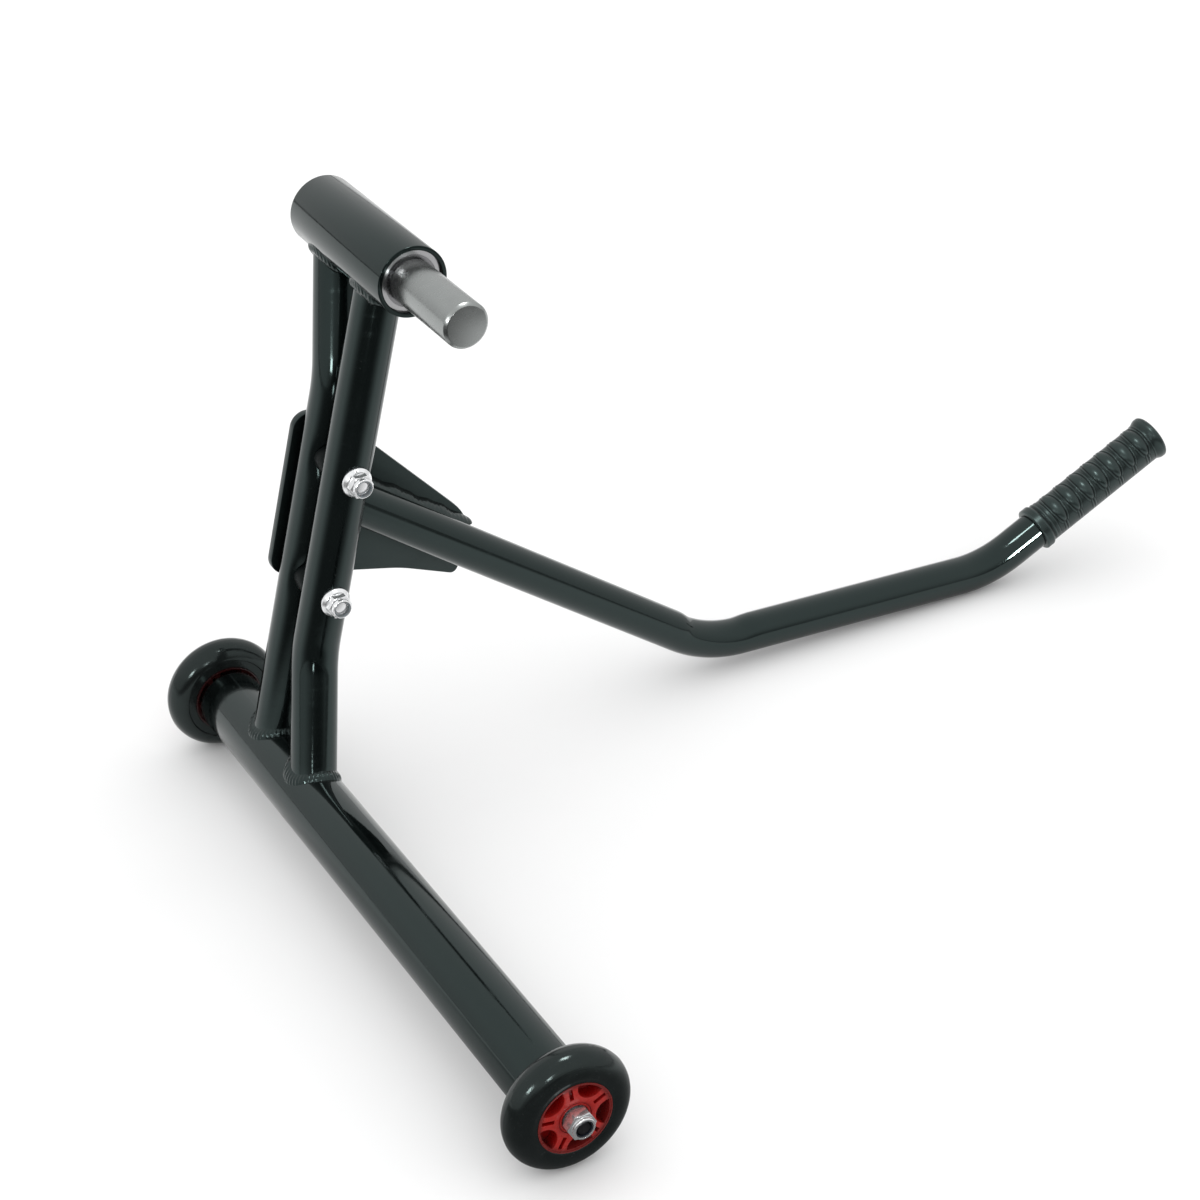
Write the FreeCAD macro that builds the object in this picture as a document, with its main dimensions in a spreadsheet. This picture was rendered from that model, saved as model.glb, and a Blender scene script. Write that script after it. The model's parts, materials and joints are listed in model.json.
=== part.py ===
"""Single-sided motorcycle paddock stand, as a parametric FreeCAD document.

Frame: X points along the lever, Y along the wheel axle towards the lever side, Z up, millimetres.
Everything is drawn from the floor under the middle of the axle line. At the end the whole stand
is moved along X, so the origin is on the floor in the middle of its length.
"""
import FreeCAD, Part
import math
import os

import Sketcher
from FreeCAD import Placement, Rotation, Vector

SKETCH_START = 20
EDGE_TOLERANCE = 0.01

DRIVING_SIZES = {
    # wheels
    "wheel_radius": 42, "wheel_width": 24, "wheelbase": 518,
    "core_radius": 25, "core_rim_wall": 1.8, "core_face_step": 0.6, "core_web": 4, "hub_lip": 8.9,
    "hub_groove_inner": 10.2, "hub_groove_outer": 10.9, "hub_groove_depth": 0.6,
    "pocket_radius": 9, "slot_width": 2.6, "slot_inner_radius": 14, "slot_outer_radius": 22.4,
    "slot_depth": 3,
    "spoke_count": 5, "core_phase": 62, "hub_recess": 2,
    # wheel bearings, 10 x 22 x 6
    "bearing_bore": 10.1, "bearing_outside": 22, "bearing_width": 6,
    "inner_race_outside": 13.2, "outer_race_inside": 18.8, "wheel_ball": 3.2, "wheel_ball_count": 9,
    # axle bolts and their nuts, M10
    "bolt_diameter": 10, "thread_gap": 0.05, "axle_bolt_length": 47, "axle_spacer": 5,
    "axle_spacer_outside": 15, "axle_washer": 3, "lock_nut_flats": 17, "lock_nut_hex": 7.6,
    "lock_nut_height": 10, "lock_nut_collar": 7.5, "bolt_head_flats": 16, "bolt_head_height": 6.4,
    # base tube
    "base_diameter": 46.6, "base_wall": 2.6, "plug_thickness": 10,
    # uprights
    "upright_diameter": 32, "upright_wall": 2.5, "lean": 12.85, "upright_bend_radius": 80,
    "front_upright_y": 133.9, "upright_spacing": 35.6, "knee_height": 97, "knee_offset": 34.4,
    "bracket_bolt_middle": 187.5, "bracket_bolt_spacing": 88, "bracket_hole": 10.6,
    "saddle_diameter": 24,
    # head tube and its bearings, 20 x 42 x 12
    "head_height": 381, "head_diameter": 48.3, "head_inside": 40.3, "head_length": 134,
    "head_near_y": 92, "head_bearing_outside": 42, "head_bearing_bore": 20, "head_bearing_width": 12,
    "head_bearing_inset": 2.5, "head_inner_race_outside": 26.4, "head_outer_race_inside": 35.4,
    "head_ball": 6.6, "head_ball_count": 9, "shield_thickness": 0.5, "shield_gap": 0.4, "race_gap": 0.02,
    # exchangeable axle pin and its clamp
    "pin_diameter": 31, "pin_length": 75, "pin_clearance": 0.02, "pin_chamfer": 2,
    "pin_shaft_short": 1, "pin_shoulder": 3.5,
    "screw_head_diameter": 16, "screw_head_height": 10, "screw_length": 35,
    "screw_head_edge": 1, "screw_socket": 8, "screw_socket_depth": 5, "disc_diameter": 34.6,
    # bracket plate, measured along and across the uprights from the axle line
    "plate_thickness": 6, "plate_margin": 17, "plate_foot": 131.5, "plate_top": 252,
    "plate_shoulder": 8.3, "plate_droop": 85, "plate_tip": 130, "plate_tip_height": 124.8,
    "plate_nose": 141, "plate_nose_height": 165.1,
    "plate_corner": 12, "plate_droop_round": 120, "plate_tip_round": 5, "plate_nose_round": 36,
    "plate_shoulder_round": 20,
    # bracket bolts and flange nuts, M10
    "bracket_bolt_length": 85, "bracket_washer_outside": 20, "bracket_washer": 2,
    "flange_diameter": 21, "flange_rim": 1.4, "flange_nut_flats": 15, "flange_nut_skirt": 3.6,
    "flange_nut_hex": 9, "flange_nut_height": 12, "flange_nut_collar": 6.8,
    # nylon rings, the same section in every lock nut
    "insert_height": 2.4, "insert_lip": 0.5, "insert_cover": 0.9, "nut_edge": 0.5, "nut_mouth": 0.9,
    # edges shared by the fasteners
    "hex_edge": 0.8, "hex_face_edge": 0.4, "thread_end": 1, "washer_gap": 0.3,
    # lever and grip
    "lever_diameter": 30, "lever_wall": 2.5, "lever_bend_radius": 104,
    "lever_start_x": 68, "lever_start_height": 225.8, "lever_slope": 34.94, "lever_leg_length": 354.2,
    "lever_run_slope": 1.9, "lever_run_length": 265.3, "lever_grip_slope": 26.89,
    "lever_end_length": 178.8,
    "grip_length": 128, "grip_radius": 17.2, "grip_collar_radius": 18, "grip_flange_radius": 18.8,
    "grip_collar": 7, "grip_flange": 5, "grip_end_wall": 3.5, "grip_edge": 1,
    # welds
    "weld_size": 4.5, "lever_weld_start": 4, "lever_weld_length": 104, "lever_weld_inner": 3,
    "lever_weld_outer": 13, "lever_weld_depth": 6,
}

doc = FreeCAD.newDocument("paddock_stand")
sheet = doc.addObject("Spreadsheet::Sheet", "sizes")
for row, (alias, value) in enumerate(DRIVING_SIZES.items(), start=1):
    sheet.set(f"A{row}", alias)
    sheet.set(f"B{row}", str(value))
    sheet.setAlias(f"B{row}", alias)
doc.recompute()

subparts = []
X_AXIS = Vector(1, 0, 0)
Y_AXIS = Vector(0, 1, 0)


def size(alias):
    """One driving size, as a number."""
    return float(sheet.get(alias))


def bind(obj, **sizes):
    """Bind properties of an object to expressions in the sheet's aliases."""
    for name, expression in sizes.items():
        obj.setExpression(name.replace("__", "."), with_sheet(expression))


def with_sheet(expression):
    """Prefix each alias in an expression with the sheet's name."""
    words, word = [], ""
    for letter in expression + " ":
        if letter.isalnum() or letter == "_":
            word += letter
            continue
        words.append("sizes." + word if word in DRIVING_SIZES else word)
        words.append(letter)
        word = ""
    return "".join(words).strip()


def keep(obj, label, placement=None):
    """Register an object as a finished sub-part."""
    obj.Label = label
    if placement is not None:
        obj.Placement = placement
    subparts.append(obj)
    return obj


def along_y(x, y, z):
    """Local Z along +Y, origin at the given point."""
    return Placement(Vector(x, y, z), Rotation(X_AXIS, -90))


def facing_near(x, y, z):
    """Local Z along -Y, origin at the given point."""
    return Placement(Vector(x, y, z), Rotation(X_AXIS, 90))


def new_body(name):
    return doc.addObject("PartDesign::Body", name)


def origin_feature(body, role):
    return next(part for part in body.Origin.OriginFeatures if part.Role == role)


def sketch_on(body, role, name):
    sketch = body.newObject("Sketcher::SketchObject", name)
    sketch.AttachmentSupport = (origin_feature(body, role), "")
    sketch.MapMode = "FlatFace"
    return sketch


def pin_point(sketch, geometry, point, across, up):
    """Fix one sketch point at two expressions from the origin."""
    spot = sketch.getPoint(geometry, point)
    for kind, axis, expression, start in (("DistanceX", -2, across, spot.x), ("DistanceY", -1, up, spot.y)):
        if expression == "0":
            sketch.addConstraint(Sketcher.Constraint("PointOnObject", geometry, point, axis))
            continue
        index = sketch.addConstraint(Sketcher.Constraint(kind, -1, 1, geometry, point, start))
        sketch.setExpression(f"Constraints[{index}]", with_sheet(expression))


def outline(sketch, corners):
    """A closed outline of straight lines through corners given as pairs of expressions."""
    count = len(corners)
    turn = 2 * math.pi / count
    spots = [Vector(SKETCH_START * (2 + math.cos(turn * i)), SKETCH_START * (2 + math.sin(turn * i)), 0)
             for i in range(count)]
    for i in range(count):
        sketch.addGeometry(Part.LineSegment(spots[i], spots[(i + 1) % count]), False)
    for i in range(count):
        sketch.addConstraint(Sketcher.Constraint("Coincident", i, 2, (i + 1) % count, 1))
    for i, (across, up) in enumerate(corners):
        pin_point(sketch, i, 1, across, up)


def circle(sketch, across, up, radius):
    index = sketch.addGeometry(Part.Circle(Vector(1, 1, 0), Vector(0, 0, 1), SKETCH_START), False)
    if across == "0" and up == "0":
        sketch.addConstraint(Sketcher.Constraint("Coincident", index, 3, -1, 1))
    else:
        pin_point(sketch, index, 3, across, up)
    constraint = sketch.addConstraint(Sketcher.Constraint("Radius", index, SKETCH_START))
    sketch.setExpression(f"Constraints[{constraint}]", with_sheet(radius))


def hexagon(sketch, flats):
    """A regular hexagon about the origin, with one corner on the horizontal axis."""
    turns = [math.radians(60 * i) for i in range(6)]
    corners = [Vector(math.cos(turn), math.sin(turn), 0) * SKETCH_START for turn in turns]
    first = sketch.GeometryCount
    for i in range(6):
        sketch.addGeometry(Part.LineSegment(corners[i], corners[(i + 1) % 6]), False)
    guide = sketch.addGeometry(Part.Circle(Vector(0, 0, 0), Vector(0, 0, 1), SKETCH_START), True)
    sketch.addConstraint(Sketcher.Constraint("Coincident", guide, 3, -1, 1))
    for i in range(6):
        sketch.addConstraint(Sketcher.Constraint("Coincident", first + i, 2, first + (i + 1) % 6, 1))
        sketch.addConstraint(Sketcher.Constraint("PointOnObject", first + i, 1, guide))
        if i:
            sketch.addConstraint(Sketcher.Constraint("Equal", first, first + i))
    sketch.addConstraint(Sketcher.Constraint("PointOnObject", first, 1, -1))
    radius = sketch.addConstraint(Sketcher.Constraint("Radius", guide, SKETCH_START))
    sketch.setExpression(f"Constraints[{radius}]", with_sheet(f"({flats}) / 2 / cos(30)"))


def turned(name, corners):
    """A body turned about its own Z from (radius, height) corners."""
    body = new_body(name)
    sketch = sketch_on(body, "XZ_Plane", name + "_profile")
    outline(sketch, corners)
    turn = body.newObject("PartDesign::Revolution", name + "_turn")
    turn.Profile = sketch
    turn.ReferenceAxis = (sketch, ["V_Axis"])
    turn.Angle = 360
    sketch.Visibility = False
    return body


def ring(name, inner, outer, low, high):
    """A plain ring, bound to expressions."""
    return turned(name, [(inner, low), (outer, low), (outer, high), (inner, high)])


def raise_sketch(sketch, height):
    sketch.setExpression("AttachmentOffset.Base.z", with_sheet(height))


def cut_to_hexagon(body, name, flats, low, high, largest):
    """Mill flats on a turned blank between two heights."""
    sketch = sketch_on(body, "XY_Plane", name + "_flats")
    raise_sketch(sketch, high)
    hexagon(sketch, flats)
    circle(sketch, "0", "0", largest)
    doc.recompute()
    mill = body.newObject("PartDesign::Pocket", name + "_mill")
    mill.Profile = sketch
    mill.Type = "Length"
    bind(mill, Length=f"({high}) - ({low})")
    sketch.Visibility = False
    return mill


def group(label, source, placements, placement=None):
    """Copies of one shape as separate solids of one node."""
    copies = []
    for i, place in enumerate(placements):
        copy = doc.addObject("App::Link", f"{label}_{i + 1}")
        copy.LinkedObject = source
        copy.LinkTransform = False
        copy.Placement = place
        copies.append(copy)
    compound = doc.addObject("Part::Compound", label)
    compound.Links = copies
    return keep(compound, label, placement)


# ---------------------------------------------------------------- derived places
lean = math.radians(size("lean"))
up_lean = Vector(math.sin(lean), 0, math.cos(lean))
axle_height = size("wheel_radius")
rear_upright_y = size("front_upright_y") + size("upright_spacing")
plate_y = rear_upright_y + size("upright_diameter") / 2
lever_y = plate_y - size("lever_diameter") / 2
base_end = size("wheelbase") / 2 - size("wheel_width") / 2 + size("hub_recess") - size("axle_spacer")
head_far_y = size("head_near_y") + size("head_length")
bolt_heights = [size("bracket_bolt_middle") + side * size("bracket_bolt_spacing") / 2 for side in (-1, 1)]


def on_lean(height, y):
    """The point at a height along the leaning uprights, measured from the axle line."""
    return Vector(0, y, axle_height) + up_lean * height


head_axis = on_lean(size("head_height"), 0)


# ---------------------------------------------------------------- base and head tubes
def base_tube():
    length = ("wheelbase - wheel_width + 2 * hub_recess - 2 * axle_spacer")
    tube = ring("base_tube", "base_diameter / 2 - base_wall", "base_diameter / 2", "0", length)
    keep(tube, "base_tube", along_y(0, -base_end, axle_height))


def base_end_plugs():
    plug = ring("base_end_plug", "bolt_diameter / 2 + thread_gap", "base_diameter / 2 - base_wall",
                "0", "plug_thickness")
    inner = base_end - size("plug_thickness")
    group("base_end_plugs", plug, [along_y(0, -base_end, axle_height), along_y(0, inner, axle_height)])


def head_tube():
    seat = "head_bearing_width + head_bearing_inset"
    tube = turned("head_tube", [
        ("head_inside / 2", seat), ("head_bearing_outside / 2", seat), ("head_bearing_outside / 2", "0"),
        ("head_diameter / 2", "0"), ("head_diameter / 2", "head_length"),
        ("head_bearing_outside / 2", "head_length"),
        ("head_bearing_outside / 2", f"head_length - ({seat})"),
        ("head_inside / 2", f"head_length - ({seat})"),
    ])
    keep(tube, "head_tube", along_y(head_axis.x, size("head_near_y"), head_axis.z))


# ---------------------------------------------------------------- bent tubes
def bend_points(before, corner, after, radius):
    """Tangent points, centre and middle of the round of a given radius at a corner."""
    arm_in = (before - corner).normalize()
    arm_out = (after - corner).normalize()
    half = arm_in.getAngle(arm_out) / 2
    reach = radius / math.tan(half)
    bisector = (arm_in + arm_out).normalize()
    centre = corner + bisector * (radius / math.sin(half))
    return corner + arm_in * reach, centre, centre - bisector * radius, corner + arm_out * reach


def bent_path(sketch, corners, expressions, radius_alias):
    """A path of straight legs with equal rounds, its corners pinned to expressions."""
    radius = size(radius_alias)
    rounds = [bend_points(corners[i - 1], corners[i], corners[i + 1], radius)
              for i in range(1, len(corners) - 1)]
    starts = [corners[0]] + [item[3] for item in rounds]
    ends = [item[0] for item in rounds] + [corners[-1]]
    legs = []
    arcs = []
    for i, (start, end) in enumerate(zip(starts, ends)):
        legs.append(sketch.addGeometry(Part.LineSegment(start, end), False))
        if i < len(rounds):
            tangent_in, _, middle, tangent_out = rounds[i]
            arcs.append(sketch.addGeometry(Part.Arc(tangent_in, middle, tangent_out), False))
    for i, arc in enumerate(arcs):
        turn = (corners[i + 1] - corners[i]).cross(corners[i + 2] - corners[i + 1]).z
        first, last = (1, 2) if turn > 0 else (2, 1)
        sketch.addConstraint(Sketcher.Constraint("Tangent", legs[i], 2, arc, first))
        sketch.addConstraint(Sketcher.Constraint("Tangent", arc, last, legs[i + 1], 1))
        index = sketch.addConstraint(Sketcher.Constraint("Radius", arc, radius))
        sketch.setExpression(f"Constraints[{index}]", with_sheet(radius_alias))
        corner = sketch.addGeometry(Part.Point(corners[i + 1]), True)
        sketch.addConstraint(Sketcher.Constraint("PointOnObject", corner, 1, legs[i]))
        sketch.addConstraint(Sketcher.Constraint("PointOnObject", corner, 1, legs[i + 1]))
        pin_point(sketch, corner, 1, *expressions[i + 1])
    pin_point(sketch, legs[0], 1, *expressions[0])
    pin_point(sketch, legs[-1], 2, *expressions[-1])


def bent_tube(name, path_plane, profile_plane, corners, expressions, radius_alias, outside, wall):
    """A round tube swept along a bent path that starts at the origin."""
    body = new_body(name)
    path = sketch_on(body, path_plane, name + "_path")
    bent_path(path, corners, expressions, radius_alias)
    section = sketch_on(body, profile_plane, name + "_section")
    circle(section, "0", "0", f"{outside} / 2")
    circle(section, "0", "0", f"{outside} / 2 - {wall}")
    doc.recompute()
    pipe = body.newObject("PartDesign::AdditivePipe", name + "_pipe")
    pipe.Profile = section
    pipe.Spine = path
    for sketch in (path, section):
        sketch.Visibility = False
    return body


def cut_through(body, name, circles):
    """Round holes along the body's own Y, right through."""
    sketch = sketch_on(body, "XZ_Plane", name)
    for across, up, radius in circles:
        circle(sketch, across, up, radius)
    doc.recompute()
    pocket = body.newObject("PartDesign::Pocket", name + "_cut")
    pocket.Profile = sketch
    pocket.Type = "ThroughAll"
    pocket.Midplane = True
    sketch.Visibility = False
    return pocket


def upright(label, straight_end, bent_end, first_hole, last_hole, placement):
    """One upright: a straight leg from its own origin up Z, then a short leg bent towards its +Y.

    Both ends are coped to the tube they meet, and both bracket holes run along Y.
    """
    straight = size("head_height") - size("knee_height")
    corners = [Vector(0, 0, 0), Vector(0, straight, 0),
               Vector(size("knee_offset"), size("head_height"), 0)]
    expressions = [("0", "0"), ("0", "head_height - knee_height"), ("knee_offset", "head_height")]
    body = bent_tube(label, "YZ_Plane", "XY_Plane", corners, expressions, "upright_bend_radius",
                     "upright_diameter", "upright_wall")
    doc.recompute()
    cut_through(body, label + "_copes", [("0", "0", straight_end), ("0", "head_height", bent_end)])
    doc.recompute()
    cut_through(body, label + "_holes", [("0", first_hole, "bracket_hole / 2"),
                                         ("0", last_hole, "bracket_hole / 2")])
    keep(body, label, placement)


def uprights():
    """The same bent tube twice: the front one hangs from the head, the rear one stands on the base."""
    low = "bracket_bolt_middle - bracket_bolt_spacing / 2"
    high = "bracket_bolt_middle + bracket_bolt_spacing / 2"
    standing = Rotation(Y_AXIS, size("lean"))
    hanging = standing * Rotation(X_AXIS, 180)
    upright("front_upright", "head_diameter / 2", "base_diameter / 2",
            f"head_height - ({low})", f"head_height - ({high})",
            Placement(on_lean(size("head_height"), size("front_upright_y")), hanging))
    upright("rear_upright", "base_diameter / 2", "head_diameter / 2", low, high,
            Placement(on_lean(0, rear_upright_y), standing))


def lever_directions():
    slopes = (size("lever_slope"), size("lever_run_slope"), -size("lever_grip_slope"))
    return [Vector(math.cos(math.radians(slope)), 0, -math.sin(math.radians(slope))) for slope in slopes]


def lever_corners():
    """Start, the two bend corners and the end of the lever's centre line."""
    lengths = (size("lever_leg_length"), size("lever_run_length"), size("lever_end_length"))
    points = [Vector(size("lever_start_x"), lever_y, size("lever_start_height"))]
    for direction, length in zip(lever_directions(), lengths):
        points.append(points[-1] + direction * length)
    return points


def lever_tube():
    """Drawn with its first leg along its own X, then turned down by the lever's slope."""
    first_turn = "(lever_slope - lever_run_slope)"
    second_turn = "(lever_slope + lever_grip_slope)"
    run_x = f"lever_leg_length + lever_run_length * cos({first_turn})"
    run_z = f"lever_run_length * sin({first_turn})"
    tube_end = "(lever_end_length - grip_end_wall)"
    expressions = [("0", "0"), ("lever_leg_length", "0"), (run_x, run_z),
                   (f"{run_x} + {tube_end} * cos({second_turn})",
                    f"{run_z} + {tube_end} * sin({second_turn})")]
    bend = math.radians(size("lever_slope") - size("lever_run_slope"))
    rise = math.radians(size("lever_slope") + size("lever_grip_slope"))
    leg, run = size("lever_leg_length"), size("lever_run_length")
    end = size("lever_end_length") - size("grip_end_wall")
    corners = [Vector(0, 0, 0), Vector(leg, 0, 0),
               Vector(leg + run * math.cos(bend), run * math.sin(bend), 0)]
    corners.append(corners[-1] + Vector(end * math.cos(rise), end * math.sin(rise), 0))
    body = bent_tube("lever_tube", "XZ_Plane", "YZ_Plane", corners, expressions, "lever_bend_radius",
                     "lever_diameter", "lever_wall")
    keep(body, "lever_tube", Placement(lever_corners()[0], Rotation(Y_AXIS, size("lever_slope"))))


def lever_grip():
    """A rubber sleeve with a closed end, pushed over the end of the lever."""
    bore = "lever_diameter / 2"
    bore_end = "grip_length - grip_end_wall"
    grip = turned("lever_grip", [
        (bore, "0"), ("grip_collar_radius", "0"), ("grip_collar_radius", "grip_collar"),
        ("grip_radius", "grip_collar + grip_edge"),
        ("grip_radius", "grip_length - grip_flange - 2 * grip_edge"),
        ("grip_flange_radius", "grip_length - grip_flange"),
        ("grip_flange_radius", "grip_length - grip_edge"),
        ("grip_flange_radius - grip_edge", "grip_length"), ("0", "grip_length"),
        ("0", bore_end), (bore, bore_end),
    ])
    end = lever_corners()[-1]
    direction = lever_directions()[-1]
    start = end - direction * size("grip_length")
    keep(grip, "lever_grip", Placement(start, Rotation(Vector(0, 0, 1), direction)))


# ---------------------------------------------------------------- bracket
def round_corner(body, name, across, up, radius_alias):
    """Round the corner edge of a plate that stands at one place of its outline."""
    doc.recompute()
    base = body.Tip
    wanted = Vector(across, 0, up)
    for index, edge in enumerate(body.Shape.Edges, start=1):
        middle = edge.CenterOfMass
        across_plate = abs(edge.tangentAt(edge.FirstParameter).y) > 1 - EDGE_TOLERANCE
        if across_plate and (Vector(middle.x, 0, middle.z) - wanted).Length < EDGE_TOLERANCE:
            fillet = body.newObject("PartDesign::Fillet", name)
            fillet.Base = (base, [f"Edge{index}"])
            bind(fillet, Radius=radius_alias)
            return
    raise RuntimeError(f"{name}: no edge at {across}, {up}")


def bracket_plate():
    """The flat plate behind the uprights, drawn along the lean with its foot at the axle line."""
    body = new_body("bracket_plate")
    sketch = sketch_on(body, "XZ_Plane", "bracket_plate_outline")
    outline(sketch, [
        ("-plate_margin", "plate_foot"), ("plate_droop", "plate_foot"), ("plate_tip", "plate_tip_height"),
        ("plate_nose", "plate_nose_height"), ("plate_shoulder", "plate_top"),
        ("-plate_margin", "plate_top"),
    ])
    doc.recompute()
    pad = body.newObject("PartDesign::Pad", "bracket_plate_pad")
    pad.Profile = sketch
    pad.Type = "Length"
    pad.Reversed = True
    bind(pad, Length="plate_thickness")
    left = -size("plate_margin")
    for name, across, up, radius in (
            ("foot_round", left, size("plate_foot"), "plate_corner"),
            ("top_round", left, size("plate_top"), "plate_corner"),
            ("droop_round", size("plate_droop"), size("plate_foot"), "plate_droop_round"),
            ("tip_round", size("plate_tip"), size("plate_tip_height"), "plate_tip_round"),
            ("nose_round", size("plate_nose"), size("plate_nose_height"), "plate_nose_round"),
            ("shoulder_round", size("plate_shoulder"), size("plate_top"), "plate_shoulder_round")):
        round_corner(body, name, across, up, radius)
    doc.recompute()
    cut_through(body, "bracket_plate_holes",
                [("0", f"bracket_bolt_middle {sign} bracket_bolt_spacing / 2", "bracket_hole / 2")
                 for sign in "-+"])
    keep(body, "bracket_plate", Placement(on_lean(0, plate_y), Rotation(Y_AXIS, size("lean"))))


def part_cylinder(name, radius, height, placement):
    cylinder = doc.addObject("Part::Cylinder", name)
    bind(cylinder, Radius=radius, Height=height)
    cylinder.Placement = placement
    return cylinder


def cut_away(name, base, tools):
    """Base minus several tools, one cut after the other."""
    result = base
    for i, tool in enumerate(tools):
        cut = doc.addObject("Part::Cut", f"{name}_cut_{i + 1}")
        cut.Base = result
        cut.Tool = tool
        result = cut
    return result


def upright_spacers():
    """A bush between the two uprights at each bolt, saddled to both tubes."""
    gap = size("upright_spacing")
    half = size("head_height") / 2
    bush = part_cylinder("saddle_bush", "saddle_diameter / 2", "upright_spacing", along_y(0, 0, 0))
    tools = [
        part_cylinder("saddle_front", "upright_diameter / 2", "head_height", Placement(
            Vector(0, 0, -half), Rotation())),
        part_cylinder("saddle_rear", "upright_diameter / 2", "head_height", Placement(
            Vector(0, gap, -half), Rotation())),
        part_cylinder("saddle_bore", "bracket_hole / 2", "upright_spacing", along_y(0, 0, 0)),
    ]
    saddle = cut_away("saddle", bush, tools)
    turn = Rotation(Y_AXIS, size("lean"))
    group("upright_spacers", saddle,
          [Placement(on_lean(height, size("front_upright_y")), turn) for height in bolt_heights])


def hexagon_bolt(name, length):
    """A hexagon bolt, its head on local zero and its shank pointing up."""
    tip = f"bolt_head_height + {length}"
    corner = "bolt_head_flats / 2 / cos(30)"
    bolt = turned(name, [
        ("0", "0"), ("bolt_head_flats / 2 - hex_face_edge", "0"), (corner, "hex_edge"),
        (corner, "bolt_head_height"), ("bolt_diameter / 2", "bolt_head_height"),
        ("bolt_diameter / 2", f"{tip} - thread_end"), ("bolt_diameter / 2 - thread_end", tip), ("0", tip),
    ])
    doc.recompute()
    cut_to_hexagon(body=bolt, name=name, flats="bolt_head_flats", low="0", high="bolt_head_height",
                   largest="bolt_head_flats")
    return bolt


def insert_sizes(collar, height):
    """Outer radius, bottom and top of the nylon ring inside a lock nut's collar."""
    top = f"{height} - insert_lip"
    return f"{collar} - insert_cover", f"{top} - insert_height", top


def nylon_insert(name, collar, height):
    outer, low, high = insert_sizes(collar, height)
    return ring(name, "bolt_diameter / 2 + thread_gap", outer, low, high)


def nut_bore(collar, height):
    """The inside of a lock nut, from the top down: lip, ring groove, thread."""
    outer, low, high = insert_sizes(collar, height)
    thread = "bolt_diameter / 2 + thread_gap"
    lip = "bolt_diameter / 2 + nut_mouth"
    return [(lip, height), (lip, high), (outer, high), (outer, low), (thread, low), (thread, "0")]


def flange_nut():
    """Flange lock nut, seat on local zero."""
    corner = "flange_nut_flats / 2 / cos(30)"
    nut = turned("flange_nut", [
        ("flange_diameter / 2", "0"), ("flange_diameter / 2", "flange_rim"), (corner, "flange_nut_skirt"),
        (corner, "flange_nut_hex - hex_edge"), ("flange_nut_collar + nut_edge", "flange_nut_hex"),
        ("flange_nut_collar", "flange_nut_hex"), ("flange_nut_collar", "flange_nut_height - nut_edge"),
        ("flange_nut_collar - nut_edge", "flange_nut_height"),
    ] + nut_bore("flange_nut_collar", "flange_nut_height"))
    doc.recompute()
    cut_to_hexagon(nut, "flange_nut", "flange_nut_flats", "flange_nut_skirt", "flange_nut_hex",
                   "flange_diameter")
    return nut


def lock_nut():
    """Plain lock nut with a nylon ring, seat on local zero."""
    corner = "lock_nut_flats / 2 / cos(30)"
    nut = turned("lock_nut", [
        ("lock_nut_flats / 2 - hex_face_edge", "0"), (corner, "hex_edge"),
        (corner, "lock_nut_hex - hex_edge"), ("lock_nut_collar + nut_edge", "lock_nut_hex"),
        ("lock_nut_collar", "lock_nut_hex"), ("lock_nut_collar", "lock_nut_height - nut_edge"),
        ("lock_nut_collar - nut_edge", "lock_nut_height"),
    ] + nut_bore("lock_nut_collar", "lock_nut_height"))
    doc.recompute()
    cut_to_hexagon(nut, "lock_nut", "lock_nut_flats", "0", "lock_nut_hex", "lock_nut_flats")
    return nut


def bracket_fasteners():
    far_face = plate_y + size("plate_thickness")
    near_face = size("front_upright_y") - size("upright_diameter") / 2
    head_y = far_face + size("bracket_washer") + size("bolt_head_height")
    bolt = hexagon_bolt("bracket_bolt", "bracket_bolt_length")
    washer = ring("bracket_washer_disc", "bolt_diameter / 2 + washer_gap", "bracket_washer_outside / 2",
                  "0", "bracket_washer")
    nut = flange_nut()
    insert = nylon_insert("flange_nut_ring", "flange_nut_collar", "flange_nut_height")

    def at_both(y):
        return [facing_near(*on_lean(height, y)) for height in bolt_heights]

    group("bracket_bolts", bolt, at_both(head_y))
    group("bracket_washers", washer, at_both(far_face + size("bracket_washer")))
    group("bracket_nuts", nut, at_both(near_face))
    group("bracket_nut_rings", insert, at_both(near_face))


# ---------------------------------------------------------------- ball bearings
def race_groove(name, pitch, ball):
    groove = doc.addObject("Part::Torus", name)
    bind(groove, Radius1=pitch, Radius2=f"{ball} / 2 + race_gap")
    return groove


def bearing_sources(name, bore, inner_outside, outer_inside, outside, width, ball):
    """Races, one ball and one shield of a bearing, centred on its middle plane."""
    pitch = f"({inner_outside} + {outer_inside}) / 4"
    low, high = f"-{width} / 2", f"{width} / 2"
    inner = ring(name + "_inner", f"{bore} / 2", f"{inner_outside} / 2", low, high)
    outer = ring(name + "_outer", f"{outer_inside} / 2", f"{outside} / 2", low, high)
    sphere = doc.addObject("Part::Sphere", name + "_ball")
    bind(sphere, Radius=f"{ball} / 2")
    shield_top = f"{high} - shield_gap"
    shield = ring(name + "_shield", f"{inner_outside} / 2 + shield_gap", f"{outer_inside} / 2",
                  f"{shield_top} - shield_thickness", shield_top)
    return {
        "inner": cut_away(name + "_inner", inner, [race_groove(name + "_inner_groove", pitch, ball)]),
        "outer": cut_away(name + "_outer", outer, [race_groove(name + "_outer_groove", pitch, ball)]),
        "ball": sphere,
        "shield": shield,
    }


def ball_places(frames, pitch_radius, count):
    """Balls spaced evenly round each bearing's own Z."""
    turn = 360 / count
    return [frame * Placement(Vector(), Rotation(Vector(0, 0, 1), turn * i)) *
            Placement(Vector(pitch_radius, 0, 0), Rotation())
            for frame in frames for i in range(count)]


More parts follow.
